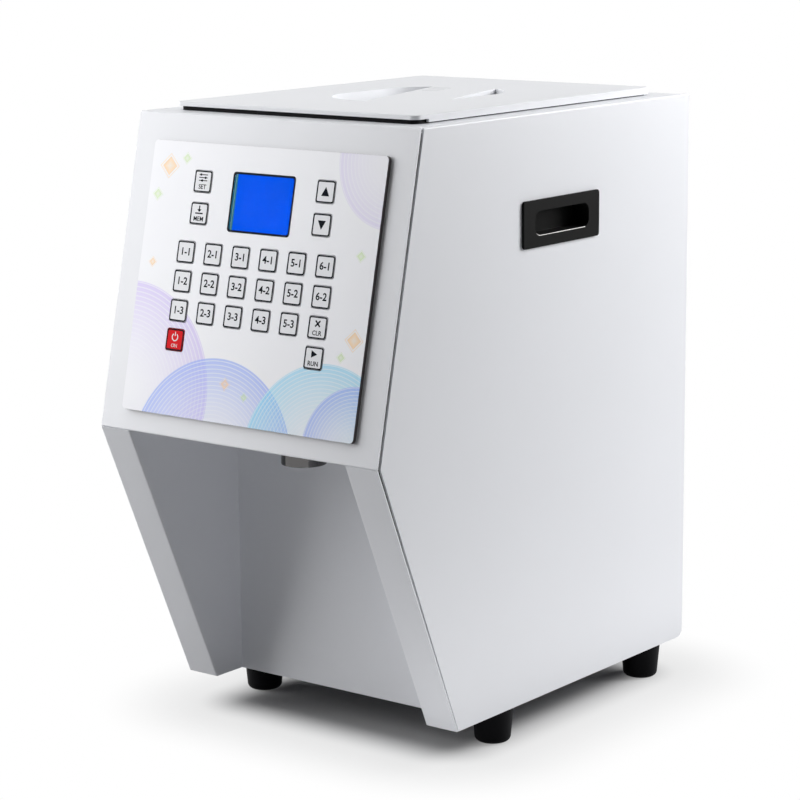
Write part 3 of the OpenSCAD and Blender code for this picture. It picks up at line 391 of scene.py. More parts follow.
def lit_screen():
    """Back-lit blue screen with a faint dot raster, and a strip of painted glow at its left edge, a dim
    teal that stands for the unlit recessed edge.
    """
    mat, tree, shader, where = new_finish("lit_screen")
    raster = add(tree, "ShaderNodeTexVoronoi", feature="F1", distance="CHEBYCHEV")
    feed(tree, raster.inputs["Vector"], where)
    raster.inputs["Scale"].default_value = 1600.0
    raster.inputs["Randomness"].default_value = 0.0
    cloud = calc(tree, "ADD", calc(tree, "MULTIPLY", noise(tree, where, 30.0), 0.25), 0.85)
    dots = calc(tree, "SUBTRACT", 1.06, calc(tree, "MULTIPLY", raster.outputs["Distance"], 0.12))
    x = vector_calc(tree, "DOT_PRODUCT", where, ACROSS, out="Value")
    lit = ramp(tree, x, SCREEN_EDGE_X - SCREEN_EDGE_BLUR, SCREEN_EDGE_X + SCREEN_EDGE_BLUR)
    colour = blend(tree, lit, SCREEN_EDGE_PAINTED_GLOW, SCREEN_LIT)
    feed(tree, shader.inputs["Emission Color"], scaled(tree, colour, calc(tree, "MULTIPLY", cloud, dots)))
    shader.inputs["Emission Strength"].default_value = 1.0
    shader.inputs["Base Color"].default_value = (0.0, 0.004, 0.02, 1)
    shader.inputs["Roughness"].default_value = 0.3
    shader.inputs["Specular IOR Level"].default_value = 0.0
    return mat


def clear_window():
    mat, tree, shader, where = new_finish("clear_window")
    got = place(tree, SKIN, Vector=where, Peel=60.0, Roughness=0.03, Gloss=0.02)
    feed(tree, shader.inputs["Roughness"], got["Roughness"])
    shader.inputs["Base Color"].default_value = (0.94, 0.97, 1.0, 1)
    shader.inputs["Transmission Weight"].default_value = 1.0
    shader.inputs["IOR"].default_value = 1.05
    return mat


def circuit_board():
    mat, tree, shader, where = new_finish("circuit_board")
    tracks = add(tree, "ShaderNodeTexBrick")
    feed(tree, tracks.inputs["Vector"], where)
    tracks.inputs["Scale"].default_value = 90.0
    tracks.inputs["Color1"].default_value = (0.010, 0.16, 0.05, 1)
    tracks.inputs["Color2"].default_value = (0.015, 0.20, 0.07, 1)
    tracks.inputs["Mortar"].default_value = (0.03, 0.30, 0.12, 1)
    feed(tree, shader.inputs["Base Color"], tracks.outputs["Color"])
    shader.inputs["Roughness"].default_value = 0.35
    return mat


FINISHES = {
    "white_steel": sprayed("white_coat", (0.785, 0.797, 0.832), 0.36),
    "steel": brushed("brushed_stainless", (0.62, 0.62, 0.62), 0.30, (1, 14, 1)),
    # Painted reflection: the spout's polished ring is made near black, for the dark bay it mirrors
    "dark_steel": brushed("polished_ring_painted_reflection", (0.12, 0.117, 0.117), 0.12, (1, 1, 30), spread=0.06),
    "screws": brushed("zinc_screw", (0.55, 0.55, 0.57), 0.34, (3, 1, 1), 900.0),
    "rubber": moulded("black_rubber", (0.006, 0.006, 0.007), 0.55, 900.0, 0.25, 0.05),
    "black_plastic": moulded("black_moulding", (0.009, 0.009, 0.009), 0.45, 1300.0, 0.10, 0.03),
    "overlay": printed_panel(),
    "window": clear_window(),
    "screen": lit_screen(),
    "board": circuit_board(),
    "brass": brushed("turned_brass", (0.72, 0.50, 0.22), 0.28, (1, 8, 1), 500.0),
    "switch_plastic": moulded("switch_moulding", (0.03, 0.03, 0.03), 0.5),
    "white_plastic": sprayed("white_lid", (0.81, 0.82, 0.845), 0.50, 500.0, 0.06, 0.15),
    "gear_plastic": sprayed("acetal", (0.78, 0.76, 0.70), 0.4, 900.0, 0.08),
    "motor": sprayed("motor_can", (0.10, 0.10, 0.11), 0.35, 900.0, 0.05),
    "supply_case": brushed("supply_case", (0.66, 0.66, 0.67), 0.35, (12, 1, 1)),
    "red_plastic": sprayed("red_key", (0.80, 0.004, 0.012), 0.40, 600.0, 0.04, 0.05),
    "lead": moulded("lead_sheath", (0.02, 0.02, 0.02), 0.5),
    "key_plastic": sprayed("white_key", (0.83, 0.84, 0.87), 0.35, 600.0, 0.04, 0.35),
}
DARK_INK = sprayed("dark_ink", (0.008, 0.010, 0.015), 0.50, 900.0, 0.03, 0.02)
WHITE_INK = sprayed("white_ink", (0.85, 0.84, 0.85), 0.45, 900.0, 0.03)
# Dark grey for the painted shade along the printed panel's edge
EDGE_SHADE_FINISH = sprayed("edge_painted_shade", (0.13, 0.12, 0.12), 0.55, 900.0, 0.10, 0.1)
# Grey metal for the painted highlight along the hand recesses
HIGHLIGHT_WIRE = brushed("painted_highlight_wire", (0.24, 0.235, 0.23), 0.45, (1, 14, 1))
SEAL_TEAL = moulded("seal_teal", (0.05, 0.33, 0.38), 0.60, 1100.0, 0.10, 0.05)

for row in frame["record"]["subparts"]:
    slots = nodes[row["node"]].data.materials
    slots.clear()
    slots.append(FINISHES[row["material_slot"]])


# Rounded folds and edges of the solids

JOIN_REACH = 0.002 * MM
FLAT_ANGLE = math.radians(0.3)
SHARP_ANGLE = math.radians(32)
SMOOTH_ANGLE = math.radians(40)


def new_mesh_group(name):
    tree = bpy.data.node_groups.new(name, "GeometryNodeTree")
    for way in ("INPUT", "OUTPUT"):
        tree.interface.new_socket("Geometry", in_out=way, socket_type="NodeSocketGeometry")
    return tree, add(tree, "NodeGroupInput").outputs[0], add(tree, "NodeGroupOutput").inputs[0]


def make_joined_faces():
    """Joins the split corners of an imported solid, so that its edges can be rounded."""
    tree, given, out = new_mesh_group("joined_faces")
    drop = add(tree, "GeometryNodeRemoveAttribute")
    drop.inputs["Name"].default_value = "custom_normal"
    merge = add(tree, "GeometryNodeMergeByDistance")
    merge.inputs["Distance"].default_value = JOIN_REACH
    tree.links.new(given, drop.inputs["Geometry"])
    tree.links.new(drop.outputs["Geometry"], merge.inputs["Geometry"])
    tree.links.new(merge.outputs["Geometry"], out)
    return tree


def make_smooth_shading():
    """Shades faces smooth and keeps edges sharp above an angle."""
    tree, given, out = new_mesh_group("smooth_shading")
    faces = add(tree, "GeometryNodeSetShadeSmooth", domain="FACE")
    edges = add(tree, "GeometryNodeSetShadeSmooth", domain="EDGE")
    angle = add(tree, "GeometryNodeInputMeshEdgeAngle").outputs["Unsigned Angle"]
    under = add(tree, "FunctionNodeCompare", data_type="FLOAT", operation="LESS_THAN")
    feed(tree, under.inputs["A"], angle)
    under.inputs["B"].default_value = SMOOTH_ANGLE
    tree.links.new(given, faces.inputs["Geometry"])
    tree.links.new(faces.outputs["Geometry"], edges.inputs["Geometry"])
    tree.links.new(under.outputs["Result"], edges.inputs["Shade Smooth"])
    tree.links.new(edges.outputs["Geometry"], out)
    return tree


def make_fold_marks(name, boxes):
    """Marks the sharp edges whose middles lie in the given boxes, for a wider rounding."""
    tree, given, out = new_mesh_group(name)
    middle = add(tree, "GeometryNodeInputPosition").outputs[0]
    angle = add(tree, "GeometryNodeInputMeshEdgeAngle").outputs["Unsigned Angle"]
    marked = 0.0
    for low, high in boxes:
        off = vector_calc(tree, "ABSOLUTE", vector_calc(tree, "SUBTRACT", middle, (low + high) / 2))
        split = add(tree, "ShaderNodeSeparateXYZ")
        feed(tree, split.inputs[0], vector_calc(tree, "SUBTRACT", off, (high - low) / 2))
        worst = calc(tree, "MAXIMUM", calc(tree, "MAXIMUM", *split.outputs[:2]), split.outputs[2])
        marked = calc(tree, "MAXIMUM", marked, calc(tree, "LESS_THAN", worst, 0.0))
    marked = calc(tree, "MULTIPLY", marked, calc(tree, "GREATER_THAN", angle, SHARP_ANGLE))
    store = add(tree, "GeometryNodeStoreNamedAttribute", data_type="FLOAT", domain="EDGE")
    store.inputs["Name"].default_value = "bevel_weight_edge"
    feed(tree, store.inputs["Value"], marked)
    tree.links.new(given, store.inputs["Geometry"])
    tree.links.new(store.outputs["Geometry"], out)
    return tree


JOINED = make_joined_faces()
SMOOTH = make_smooth_shading()
FOLD_R = 1.2 * MM


def round_edges(obj, name, width, segments, method):
    edge = obj.modifiers.new(name, "BEVEL")
    edge.width = width
    edge.segments = segments
    edge.limit_method = method
    edge.angle_limit = SHARP_ANGLE


def soften(obj, width=None, folds=()):
    """Joins the faces of a solid, rounds its folds and its other edges, and shades it smooth."""
    obj.modifiers.new("join", "NODES").node_group = JOINED
    if width:
        flat = obj.modifiers.new("flat", "DECIMATE")
        flat.decimate_type = "DISSOLVE"
        flat.angle_limit = FLAT_ANGLE
    if folds:
        obj.modifiers.new("mark", "NODES").node_group = make_fold_marks(obj.name + "_folds", folds)
        round_edges(obj, "fold", FOLD_R, 4, "WEIGHT")
    if width:
        round_edges(obj, "edge", width, 2, "ANGLE")
    obj.modifiers.new("shade", "NODES").node_group = SMOOTH
    if width:
        obj.modifiers.new("even", "WEIGHTED_NORMAL").keep_sharp = True


def line_box(a, b, slack=0.1 * MM):
    """The thin box round an edge that runs between two points."""
    low = Vector([min(p, q) - slack for p, q in zip(a, b)])
    high = Vector([max(p, q) + slack for p, q in zip(a, b)])
    return low, high


def top_rim(name, reach):
    """Boxes along the four top edges of a node, corners included."""
    low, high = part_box(name)
    return [
        line_box((low.x, low.y, high.z), (low.x + reach, high.y, high.z)),
        line_box((high.x - reach, low.y, high.z), high),
        line_box((low.x, low.y, high.z), (high.x, low.y + reach, high.z)),
        line_box((low.x, high.y - reach, high.z), high),
    ]


HALF_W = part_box("front_fascia")[1].x
BAY_HALF_W = 96 * MM
LID_RIM = 6 * MM


def across(point):
    """Box along a fold that runs over the whole width of the front."""
    return line_box(point - ACROSS * HALF_W, point + ACROSS * HALF_W)


def top_side_fold(name, side):
    low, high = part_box(name)
    return [line_box((side * HALF_W, low.y, high.z), (side * HALF_W, high.y, high.z))]


def top_rear_fold(name):
    low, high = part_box(name)
    return [line_box((low.x, high.y, high.z), high)]


def leg_fold(x):
    """Box along the fold between a leg and the side wall of the cup bay."""
    return line_box((x, NOSE.y, LEG_FOOT.z), (x, LEG_FOOT.y, NOSE.z))


FOLDS = {
    "front_fascia": [across(BROW), across(NOSE)],
    "side_panel_left": top_side_fold("side_panel_left", -1),
    "side_panel_right": top_side_fold("side_panel_right", 1),
    "rear_panel": top_rear_fold("rear_panel"),
    "cup_bay_liner": [leg_fold(-BAY_HALF_W), leg_fold(BAY_HALF_W)],
    "lid": top_rim("lid", LID_RIM),
}
EDGES_MM = {
    "side_panel_left": 0.4, "side_panel_right": 0.4, "front_fascia": 0.3, "cup_bay_liner": 0.3,
    "rear_panel": 0.3, "lid": 0.4, "carry_handle_left": 0.8, "carry_handle_right": 0.8,
    "panel_overlay": 0.25, "rubber_feet": 0.8, "outlet_nozzle": 0.4, "power_entry": 0.4,
    "power_rocker": 0.4, "gear_plate": 0.4, "base_plate": 0.3, "power_supply": 0.6,
}
KEY_EDGE_MM = 0.25
for name, obj in nodes.items():
    edge = KEY_EDGE_MM if name.startswith("key_") else EDGES_MM.get(name)
    soften(obj, edge and edge * MM, FOLDS.get(name, ()))


# Drawing tools for the pieces that are added

def rounded_loop(w, h, r, steps=6):
    loop = []
    for cx, cy, start in ((1, 1, 0), (-1, 1, 90), (-1, -1, 180), (1, -1, 270)):
        for i in range(steps + 1):
            a = math.radians(start + 90 * i / steps)
            loop.append(Vector((cx * (w / 2 - r) + r * math.cos(a), cy * (h / 2 - r) + r * math.sin(a), 0)))
    return loop


def box_loop(w, h):
    return [Vector((x * w / 2, y * h / 2, 0)) for x, y in ((-1, -1), (1, -1), (1, 1), (-1, 1))]


def flat_outline(*corners):
    """Corners of a flat shape, given in millimetres."""
    return [Vector((x * MM, y * MM, 0)) for x, y in corners]


def whole_turn(steps):
    """Angles of evenly spaced points round a circle."""
    return [2 * math.pi * i / steps for i in range(steps)]


def bridge(bm, *rings):
    """Faces between each closed ring of points and the next."""
    for low, high in zip(rings, rings[1:]):
        for i in range(len(low)):
            j = (i + 1) % len(low)
            bm.faces.new((low[i], low[j], high[j], high[i]))


def prism(bm, outline, low, high, at=(0, 0)):
    """A closed prism of a flat outline."""
    shift = Vector((at[0], at[1], 0))
    bottom = [bm.verts.new(p + shift + Vector((0, 0, low))) for p in outline]
    top = [bm.verts.new(p + shift + Vector((0, 0, high))) for p in outline]
    bm.faces.new(list(reversed(bottom)))
    bm.faces.new(top)
    bridge(bm, bottom, top)


def ink(bm, outline, at=(0, 0)):
    """A flat printed shape just above the face it lies on."""
    prism(bm, outline, INK_LIFT, INK_LIFT + INK_T, at)


def band(bm, outer, inner, low, high, closed=True):
    """A strip between two lines of as many points, closed round or with two ends."""
    levels = [(line, Vector((0, 0, z))) for line in (outer, inner) for z in (low, high)]
    rings = [[bm.verts.new(p + lift) for p in line] for line, lift in levels]
    out_low, out_high, in_low, in_high = rings
    n = len(outer)
    for i in range(n if closed else n - 1):
        j = (i + 1) % n
        bm.faces.new((out_low[i], out_low[j], out_high[j], out_high[i]))
        bm.faces.new((in_low[j], in_low[i], in_high[i], in_high[j]))
        bm.faces.new((out_high[i], out_high[j], in_high[j], in_high[i]))
        bm.faces.new((in_low[i], in_low[j], out_low[j], out_low[i]))
    if not closed:
        bm.faces.new((out_low[0], out_high[0], in_high[0], in_low[0]))
        bm.faces.new((in_low[-1], in_high[-1], out_high[-1], out_low[-1]))


def ink_rim(bm, w, h, r, line):
    outer = rounded_loop(w, h, r)
    inner = rounded_loop(w - 2 * line, h - 2 * line, r - line / 2)
    band(bm, outer, inner, INK_LIFT, INK_LIFT + INK_T)


def ink_arc(bm, radius, line, start, stop, at=(0, 0), steps=28):
    outer, inner = [], []
    for i in range(steps + 1):
        a = math.radians(start + (stop - start) * i / steps)
        turn = Vector((math.cos(a), math.sin(a), 0))
        middle = Vector((at[0], at[1], 0))
        outer.append(middle + turn * (radius + line / 2))
        inner.append(middle + turn * (radius - line / 2))
    band(bm, outer, inner, INK_LIFT, INK_LIFT + INK_T, closed=False)


def ink_words(bm, words, size, at=(0, 0), weight=0.0):
    """Printed words, centred on a point and thickened by a weight."""
    curve = bpy.data.curves.new("words", "FONT")
    curve.body = words
    curve.size = size
    curve.offset = weight
    curve.align_x = "CENTER"
    curve.align_y = "CENTER"
    curve.extrude = INK_T / 2
    curve.resolution_u = 3
    holder = bpy.data.objects.new("words", curve)
    bpy.context.scene.collection.objects.link(holder)
    ready = holder.evaluated_get(bpy.context.evaluated_depsgraph_get())
    mesh = bpy.data.meshes.new_from_object(ready)
    mesh.transform(Matrix.Translation((at[0], at[1], INK_LIFT + INK_T / 2)))
    bm.from_mesh(mesh)
    bpy.data.objects.remove(holder)
    bpy.data.meshes.remove(mesh)
    bpy.data.curves.remove(curve)


def as_piece(name, bm, body, finish, matrix=None):
    if matrix:
        bmesh.ops.transform(bm, matrix=matrix, verts=bm.verts)
    bmesh.ops.remove_doubles(bm, verts=bm.verts, dist=1e-7)
    bmesh.ops.recalc_face_normals(bm, faces=bm.faces)
    mesh = bpy.data.meshes.new(name)
    bm.to_mesh(mesh)
    bm.free()
    obj = bpy.data.objects.new(name, mesh)
    bpy.context.scene.collection.objects.link(obj)
    mesh.materials.append(finish)
    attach(obj, body)
    return obj


# Legends on the keys

def mark_set(bm):
    """Three slide controls."""
    for y, knob in ((4.6, -2.2), (2.6, 2.0), (0.6, -0.8)):
        ink(bm, box_loop(7.6 * MM, 0.6 * MM), (0, y * MM))
        ink(bm, rounded_loop(1.7 * MM, 1.5 * MM, 0.5 * MM, 3), (knob * MM, y * MM))


def mark_store(bm):
    """An arrow into a tray."""
    ink(bm, box_loop(1.0 * MM, 2.6 * MM), (0, 4.1 * MM))
    ink(bm, flat_outline((-1.9, 0), (0, -2.0), (1.9, 0)), (0, 2.9 * MM))
    ink(bm, box_loop(6.8 * MM, 0.9 * MM), (0, 0.1 * MM))


def mark_clear(bm):
    """A cross."""
    for turn in (45, -45):
        spin = Matrix.Rotation(math.radians(turn), 3, "Z")
        ink(bm, [spin @ p for p in box_loop(5.6 * MM, 1.1 * MM)], (0, 2.6 * MM))


def mark_run(bm):
    """A start triangle."""
    ink(bm, flat_outline((-2.2, -2.5), (2.8, 0), (-2.2, 2.5)), (0, 2.6 * MM))


def arrow(bm, up):
    outline = flat_outline((-3.4, -2.9), (3.4, -2.9), (0, 3.2))
    ink(bm, [Vector((p.x, p.y * up, 0)) for p in outline])


FUNCTION_MARKS = {
    "key_set": (mark_set, "SET"), "key_store": (mark_store, "MEM"),
    "key_clear": (mark_clear, "CLR"), "key_run": (mark_run, "RUN"),
}
ARROWS = {"key_up": 1, "key_down": -1}
LEGEND_SIZE = 7.2 * MM
LEGEND_WEIGHT = 0.14 * MM
SMALL_LEGEND = 4.4 * MM
SMALL_LEGEND_Y = -3.8 * MM
KEY_RIM = 0.95 * MM
KEY_RIM_R = 1.4 * MM
KEY_RIM_INSET = 0.15 * MM


def key_legend(name):
    w, h, middle = outer_face(name)
    on_key = PANEL @ Matrix.Translation(middle)
    dark = bmesh.new()
    ink_rim(dark, w - 2 * KEY_RIM_INSET, h - 2 * KEY_RIM_INSET, KEY_RIM_R, KEY_RIM)
    if name in FUNCTION_MARKS:
        mark, word = FUNCTION_MARKS[name]
        mark(dark)
        ink_words(dark, word, SMALL_LEGEND, (0, SMALL_LEGEND_Y), LEGEND_WEIGHT / 2)
    elif name in ARROWS:
        arrow(dark, ARROWS[name])
    elif name != "key_power":
        ink_words(dark, name[4:].replace("_", "-"), LEGEND_SIZE, weight=LEGEND_WEIGHT)
    as_piece(name + "_ink", dark, name, DARK_INK, on_key)


POWER_R = 2.5 * MM
POWER_LINE = 0.75 * MM
POWER_ARC = (125, 415)
POWER_ARC_Y = 1.8 * MM
POWER_BAR = 2.9 * MM
POWER_BAR_Y = 4.0 * MM
POWER_WORD = 3.6 * MM
POWER_WORD_Y = -4.2 * MM


def power_sign():
    """A broken ring with a bar in its gap, and a word below."""
    sign = bmesh.new()
    ink_arc(sign, POWER_R, POWER_LINE, *POWER_ARC, (0, POWER_ARC_Y))
    ink(sign, box_loop(POWER_LINE, POWER_BAR), (0, POWER_BAR_Y))
    ink_words(sign, "ON", POWER_WORD, (0, POWER_WORD_Y))
    on_key = PANEL @ Matrix.Translation(outer_face("key_power")[2])
    as_piece("key_power_sign", sign, "key_power", WHITE_INK, on_key)


for name in nodes:
    if name.startswith("key_"):
        key_legend(name)
power_sign()


# Trim on the front and the sides, with dark pieces of painted shade and a wire of painted highlight

FRAME_LINE = 1.5 * MM
FRAME_REACH = 0.7 * MM
FRAME_CORNER = 2.4 * MM
WINDOW_SEAL_GAPS = (0.16 * MM, 0.04 * MM)
WINDOW_SEAL_CORNER = 2 * MM
WINDOW_SEAL_H = 2.5 * MM
# Sizes of the dark band of painted shade round the printed panel's edge
EDGE_SHADE_HALF_T = 0.06 * MM
EDGE_SHADE_DROP = 0.25 * MM
EDGE_SHADE_CORNER = 3 * MM


def display_frame():
    """Black line printed round the window."""
    w, h, middle = outer_face("display_window")
    on_window = PANEL @ Matrix.Translation((middle.x, middle.y, outer_face("panel_overlay")[2].z))
    dark = bmesh.new()
    ink_rim(dark, w + 2 * FRAME_REACH, h + 2 * FRAME_REACH, FRAME_CORNER, FRAME_LINE)
    as_piece("display_frame", dark, "cabinet", DARK_INK, on_window)


def window_seal():
    """Thin seal in the gap between the window and its opening."""
    w, h, middle = outer_face("display_window")
    band_mesh = bmesh.new()
    outer, inner = [rounded_loop(w + 2 * gap, h + 2 * gap, WINDOW_SEAL_CORNER) for gap in WINDOW_SEAL_GAPS]
    band(band_mesh, outer, inner, middle.z - WINDOW_SEAL_H, middle.z - INK_LIFT)
    on_front = PANEL @ Matrix.Translation((middle.x, middle.y, 0))
    as_piece("window_seal", band_mesh, "cabinet", SEAL_TEAL, on_front)


def overlay_edge_shade():
    """Painted shade: a dark band round the sides of the printed panel, standing for the shade along its
    edge.
    """
    w, h, middle = outer_face("panel_overlay")
    dark = bmesh.new()
    t = 2 * EDGE_SHADE_HALF_T
    outer = rounded_loop(w + t, h + t, EDGE_SHADE_CORNER)
    inner = rounded_loop(w - t, h - t, EDGE_SHADE_CORNER - t)
    band(dark, outer, inner, INK_LIFT, middle.z - EDGE_SHADE_DROP)
    on_front = PANEL @ Matrix.Translation((middle.x, middle.y, 0))
    as_piece("overlay_edge_shade", dark, "cabinet", EDGE_SHADE_FINISH, on_front)


# Sizes of the black strips of painted shade in the seams behind the front sheets
SEAM_SHADE_FRONT = 1.7 * MM
SEAM_SHADE_DEPTH = 6 * MM
SEAM_SHADE_INNER_X = 119.55 * MM
SEAM_SHADE_T = 1.4 * MM
SEAM_SHADE_TOP_GAP = 3.8 * MM
SEAM_SHADE_FOOT_GAP = 16 * MM


def seam_shade_strips():
    """Painted shade: black strips set in the open seams behind the front sheets, so the seams look as dark
    as deep shade.
    """
    head = BROW - UP_SLOPE * SEAM_SHADE_TOP_GAP
    leg = (NOSE - LEG_FOOT).normalized()
    foot = LEG_FOOT + leg * SEAM_SHADE_FOOT_GAP / leg.z
    line = [Vector((p.y, p.z, 0)) for p in (head, NOSE, foot)]
    front = [p + Vector((SEAM_SHADE_FRONT, 0, 0)) for p in line]
    rear = [p + Vector((SEAM_SHADE_FRONT + SEAM_SHADE_DEPTH, 0, 0)) for p in line]
    to_side = Matrix(((0, 0, 1, 0), (1, 0, 0, 0), (0, 1, 0, 0), (0, 0, 0, 1)))
    band_mesh = bmesh.new()
    for low in (SEAM_SHADE_INNER_X, -SEAM_SHADE_INNER_X - SEAM_SHADE_T):
        band(band_mesh, front, rear, low, low + SEAM_SHADE_T, closed=False)
    as_piece("seam_shade_strips", band_mesh, "cabinet", FINISHES["rubber"], to_side)


# Size and path of the painted highlight wire along the lower lip of each hand recess
LIP_R = 0.42 * MM
# End of the recess, and the degrees of its corner that the wire follows
LIP_ARCS = ((-1, 225, 270), (1, 270, 285))
LIP_STEPS = 8
RECESS_HALF_L = 33.0 * MM
RECESS_HALF_H = 8.5 * MM
RECESS_CORNER = 6.0 * MM


def tube(bm, path, radius, sides=10):
    """A round wire along a path that lies in one plane across X."""
    rings = []
    for i, point in enumerate(path):
        along = (path[min(i + 1, len(path) - 1)] - path[max(i - 1, 0)]).normalized()
        over = along.cross(ACROSS)
        ring = [point + (ACROSS * math.cos(a) + over * math.sin(a)) * radius for a in whole_turn(sides)]
        rings.append([bm.verts.new(p) for p in ring])
    bridge(bm, *rings)
    bm.faces.new(list(reversed(rings[0])))
    bm.faces.new(rings[-1])


def handle_highlights():
    """Painted highlight: a grey metal wire along the lower edge of each hand recess, where the rounded lip
    catches the light.
    """
    steel = bmesh.new()
    for name, side in (("carry_handle_left", -1), ("carry_handle_right", 1)):
        low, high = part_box(name)
        middle = (low + high) / 2
        x = side * (max(abs(low.x), abs(high.x)) - LIP_R)
        path = []
        for end, start, stop in LIP_ARCS:
            for i in range(LIP_STEPS + 1):
                a = math.radians(start + (stop - start) * i / LIP_STEPS)
                y = end * (RECESS_HALF_L - RECESS_CORNER) + RECESS_CORNER * math.cos(a)
                z = RECESS_CORNER - RECESS_HALF_H + RECESS_CORNER * math.sin(a)
                path.append(Vector((x, middle.y + y, middle.z + z)))
        tube(steel, path, LIP_R)
    piece = as_piece("handle_highlights", steel, "cabinet", HIGHLIGHT_WIRE)
    soften(piece)


display_frame()
window_seal()
overlay_edge_shade()
seam_shade_strips()
handle_highlights()


# Screws at the rear, with a cross recess in each head

HEAD_R = 3.6 * MM
HEAD_H = 2.2 * MM
SHANK_R = 2.0 * MM
SHANK_L = 8.0 * MM
THREAD = 0.7 * MM
CROSS_ARM = 1.9 * MM
CROSS_HALF = 0.45 * MM
CROSS_DEPTH = 1.1 * MM
CROSS_TAPER = 0.8
# The head's dome, as shares of its radius and height
DOME = ((0.97, 0.0), (1.0, 0.15), (0.98, 0.5), (0.90, 0.75), (0.76, 0.92), (0.62, 1.0))
# Degrees that each screw stands further round than the one before it
TURN_STEP = 37


def screw_profile():
    """Radius and height, from the tip of the shank to the flat of a domed head."""
    turns = int(SHANK_L / THREAD)
    line = [(SHANK_R - THREAD / 2, -SHANK_L)]
    for i in range(turns):
        line.append((SHANK_R, -SHANK_L + (i + 0.5) * THREAD))
        line.append((SHANK_R - THREAD / 2, -SHANK_L + (i + 1) * THREAD))
    line.append((SHANK_R - THREAD / 2, 0))
    for r, h in DOME:
        line.append((HEAD_R * r, HEAD_H * h))
    return line


def cross_loop(arm, half):
    loop = []
    for quarter in range(4):
        spin = Matrix.Rotation(math.pi / 2 * quarter, 3, "Z")
        loop += [spin @ Vector(p) for p in ((arm, -half, 0), (arm, half, 0), (half, half, 0))]
    return loop


def ring_edges(bm, ring):
    pairs = zip(ring, ring[1:] + ring[:1])
    return [bm.edges.get(pair) or bm.edges.new(pair) for pair in pairs]


def screw(bm, matrix, steps=32):
    rings = []
    for r, z in screw_profile():
        ring = [Vector((r * math.cos(a), r * math.sin(a), z)) for a in whole_turn(steps)]
        rings.append([bm.verts.new(matrix @ p) for p in ring])
    bridge(bm, *rings)
    bm.faces.new(list(reversed(rings[0])))
    mouth_at = matrix @ Matrix.Translation((0, 0, HEAD_H))
    floor_at = matrix @ Matrix.Translation((0, 0, HEAD_H - CROSS_DEPTH))
    mouth = [bm.verts.new(mouth_at @ p) for p in cross_loop(CROSS_ARM, CROSS_HALF)]
    floor = [bm.verts.new(floor_at @ (p * CROSS_TAPER)) for p in cross_loop(CROSS_ARM, CROSS_HALF)]
    bmesh.ops.triangle_fill(bm, use_beauty=True, edges=ring_edges(bm, rings[-1]) + ring_edges(bm, mouth))
    bridge(bm, mouth, floor)
    bm.faces.new(floor)


def rear_screws():
    low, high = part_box("housing_screws")
    steel = bmesh.new()
    to_rear = Matrix.Rotation(-math.pi / 2, 4, "X")
    rows = (low.z + HEAD_R, (low.z + high.z) / 2, high.z - HEAD_R)
    for i, z in enumerate(rows):
        for side, x in ((0, low.x + HEAD_R), (1, high.x - HEAD_R)):
            spin = Matrix.Rotation(math.radians(TURN_STEP * (2 * i + side)), 4, "Z")
            screw(steel, Matrix.Translation((x, high.y - HEAD_H, z)) @ to_rear @ spin)
    piece = as_piece("rear_screws", steel, "cabinet", FINISHES["screws"])
    soften(piece)
    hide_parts("housing_screws")


rear_screws()


# Floor, light and camera

FLOOR_HALF = 8.0
FLOOR_TONE = (0.40, 0.40, 0.405, 1)
SHADOW_CORNER = 40 * MM
SHADOW_FADE = (-36 * MM, 12 * MM)
FLOOR_FADE = (0.0, 90 * MM)
NEAR_WHITE = 0.74


def seen_ray(tree):
    """One for rays that look at the studio: from the camera, in gloss or through glass."""
    path = add(tree, "ShaderNodeLightPath").outputs
    seen = calc(tree, "ADD", path["Is Camera Ray"], path["Is Glossy Ray"], clamp=True)
    return calc(tree, "ADD", seen, path["Is Transmission Ray"], clamp=True)


def studio_floor():
    """Pale floor that keeps the shadow below the object and turns to plain white further off."""
    bm = bmesh.new()
    bmesh.ops.create_grid(bm, x_segments=1, y_segments=1, size=FLOOR_HALF)
    mesh = bpy.data.meshes.new("studio_floor")
    bm.to_mesh(mesh)
    bm.free()
    floor = bpy.data.objects.new("studio_floor", mesh)
    bpy.context.scene.collection.objects.link(floor)
    mat, tree, shader, where = new_finish("studio_floor")
    shader.inputs["Base Color"].default_value = FLOOR_TONE
    shader.inputs["Roughness"].default_value = 0.6
    shader.inputs["Specular IOR Level"].default_value = 0.0
    middle = Vector((0, (cad_box[1].y + LEG_FOOT.y) / 2, 0))
    half = Vector((cad_box[1].x - SHADOW_CORNER, (cad_box[1].y - LEG_FOOT.y) / 2 - SHADOW_CORNER, 0))
    off = vector_calc(tree, "ABSOLUTE", vector_calc(tree, "SUBTRACT", where, middle))
    past = vector_calc(tree, "SUBTRACT", off, half)
    beyond = vector_calc(tree, "MAXIMUM", past, Vector((0, 0, 0)))
    outside = vector_calc(tree, "LENGTH", beyond, out="Value")
    split = add(tree, "ShaderNodeSeparateXYZ")
    feed(tree, split.inputs[0], past)
    inside = calc(tree, "MINIMUM", calc(tree, "MAXIMUM", *split.outputs[:2]), 0.0)
    far = calc(tree, "SUBTRACT", calc(tree, "ADD", outside, inside), SHADOW_CORNER)
    near = calc(tree, "MULTIPLY", ramp(tree, far, *SHADOW_FADE), NEAR_WHITE)
    rest = calc(tree, "MULTIPLY", ramp(tree, far, *FLOOR_FADE), 1.0 - NEAR_WHITE)
    away = calc(tree, "ADD", near, rest)
    white = add(tree, "ShaderNodeEmission")
    mix = add(tree, "ShaderNodeMixShader")
    feed(tree, mix.inputs["Fac"], calc(tree, "MULTIPLY", seen_ray(tree), away))
    tree.links.new(shader.outputs["BSDF"], mix.inputs[1])
    tree.links.new(white.outputs["Emission"], mix.inputs[2])
    tree.links.new(mix.outputs["Shader"], tree.nodes["Material Output"].inputs["Surface"])
    mesh.materials.append(mat)


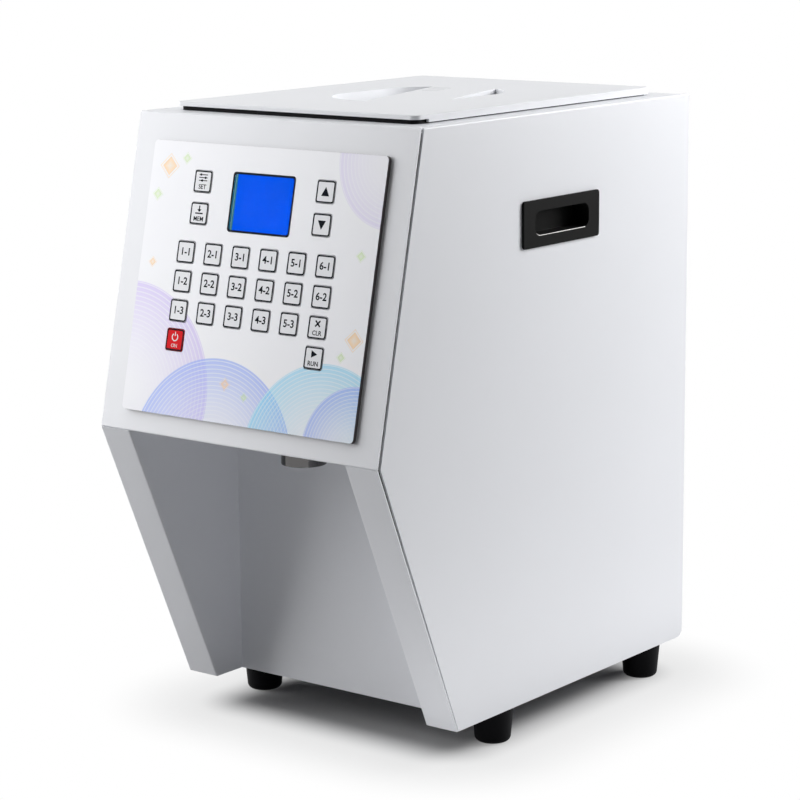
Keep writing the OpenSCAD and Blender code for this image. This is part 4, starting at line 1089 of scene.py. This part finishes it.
def studio_world():
    """Plain white surroundings that are seen, while the lamps give the light."""
    world = bpy.data.worlds.new("studio")
    bpy.context.scene.world = world
    world.use_nodes = True
    tree = world.node_tree
    white = tree.nodes["Background"]
    white.inputs["Color"].default_value = (1, 1, 1, 1)
    feed(tree, white.inputs["Strength"], seen_ray(tree))


def softbox(name, at, target, size, power):
    lamp = bpy.data.lights.new(name, "AREA")
    lamp.shape = "RECTANGLE"
    lamp.size, lamp.size_y = size
    lamp.energy = power
    obj = bpy.data.objects.new(name, lamp)
    obj.location = at
    aim = Vector(target) - Vector(at)
    obj.rotation_euler = aim.to_track_quat("-Z", "Y").to_euler()
    bpy.context.scene.collection.objects.link(obj)
    obj.visible_camera = False


LENS = 118.886
FILM_W = 36
CAMERA_AT = Vector((1151.0 * MM, -1494.4 * MM, 601.3 * MM))
# Azimuth, elevation and roll in degrees
CAMERA_ANGLES = (37.701, 11.218, 0.446)


def photo_camera():
    """Camera at the place and angles that were fitted to the edges of the cabinet."""
    cam = bpy.data.cameras.new("photo_camera")
    cam.lens = LENS
    cam.sensor_width = FILM_W
    cam.clip_start, cam.clip_end = 0.05, 50
    obj = bpy.data.objects.new("photo_camera", cam)
    bpy.context.scene.collection.objects.link(obj)
    azimuth, elevation, roll = (math.radians(a) for a in CAMERA_ANGLES)
    level = math.cos(elevation)
    back = Vector((math.sin(azimuth) * level, -math.cos(azimuth) * level, math.sin(elevation)))
    right = Vector((math.cos(azimuth), math.sin(azimuth), 0))
    up = back.cross(right)
    x_axis = right * math.cos(roll) - up * math.sin(roll)
    y_axis = right * math.sin(roll) + up * math.cos(roll)
    turn = Matrix((x_axis, y_axis, back)).transposed().to_4x4()
    obj.matrix_world = Matrix.Translation(CAMERA_AT) @ turn
    bpy.context.scene.camera = obj


studio_floor()
studio_world()
softbox("front_top", (-0.3, -0.3, 1.6), (0, -0.05, 0.4), (1.0, 1.0), 6.8)
softbox("left_front", (-0.85, -0.65, 0.65), (-0.05, -0.17, 0.3), (0.9, 0.9), 12.4)
softbox("right_far", (1.1, 0.9, 1.1), (0.1, 0.15, 0.35), (1.0, 1.0), 8.2)
softbox("right_rear", (0.75, 0.95, 0.74), (0.12, 0.25, 0.34), (0.6, 0.6), 13)
softbox("side_card", (0.28, 0.04, 0.004), (0.28, 0.04, 1), (0.24, 0.7), 0.30)
softbox("leg_card", (0.112, -0.20, 0.004), (0.112, -0.20, 1), (0.026, 0.14), 0.027)
photo_camera()
bpy.context.scene.view_settings.view_transform = "Standard"
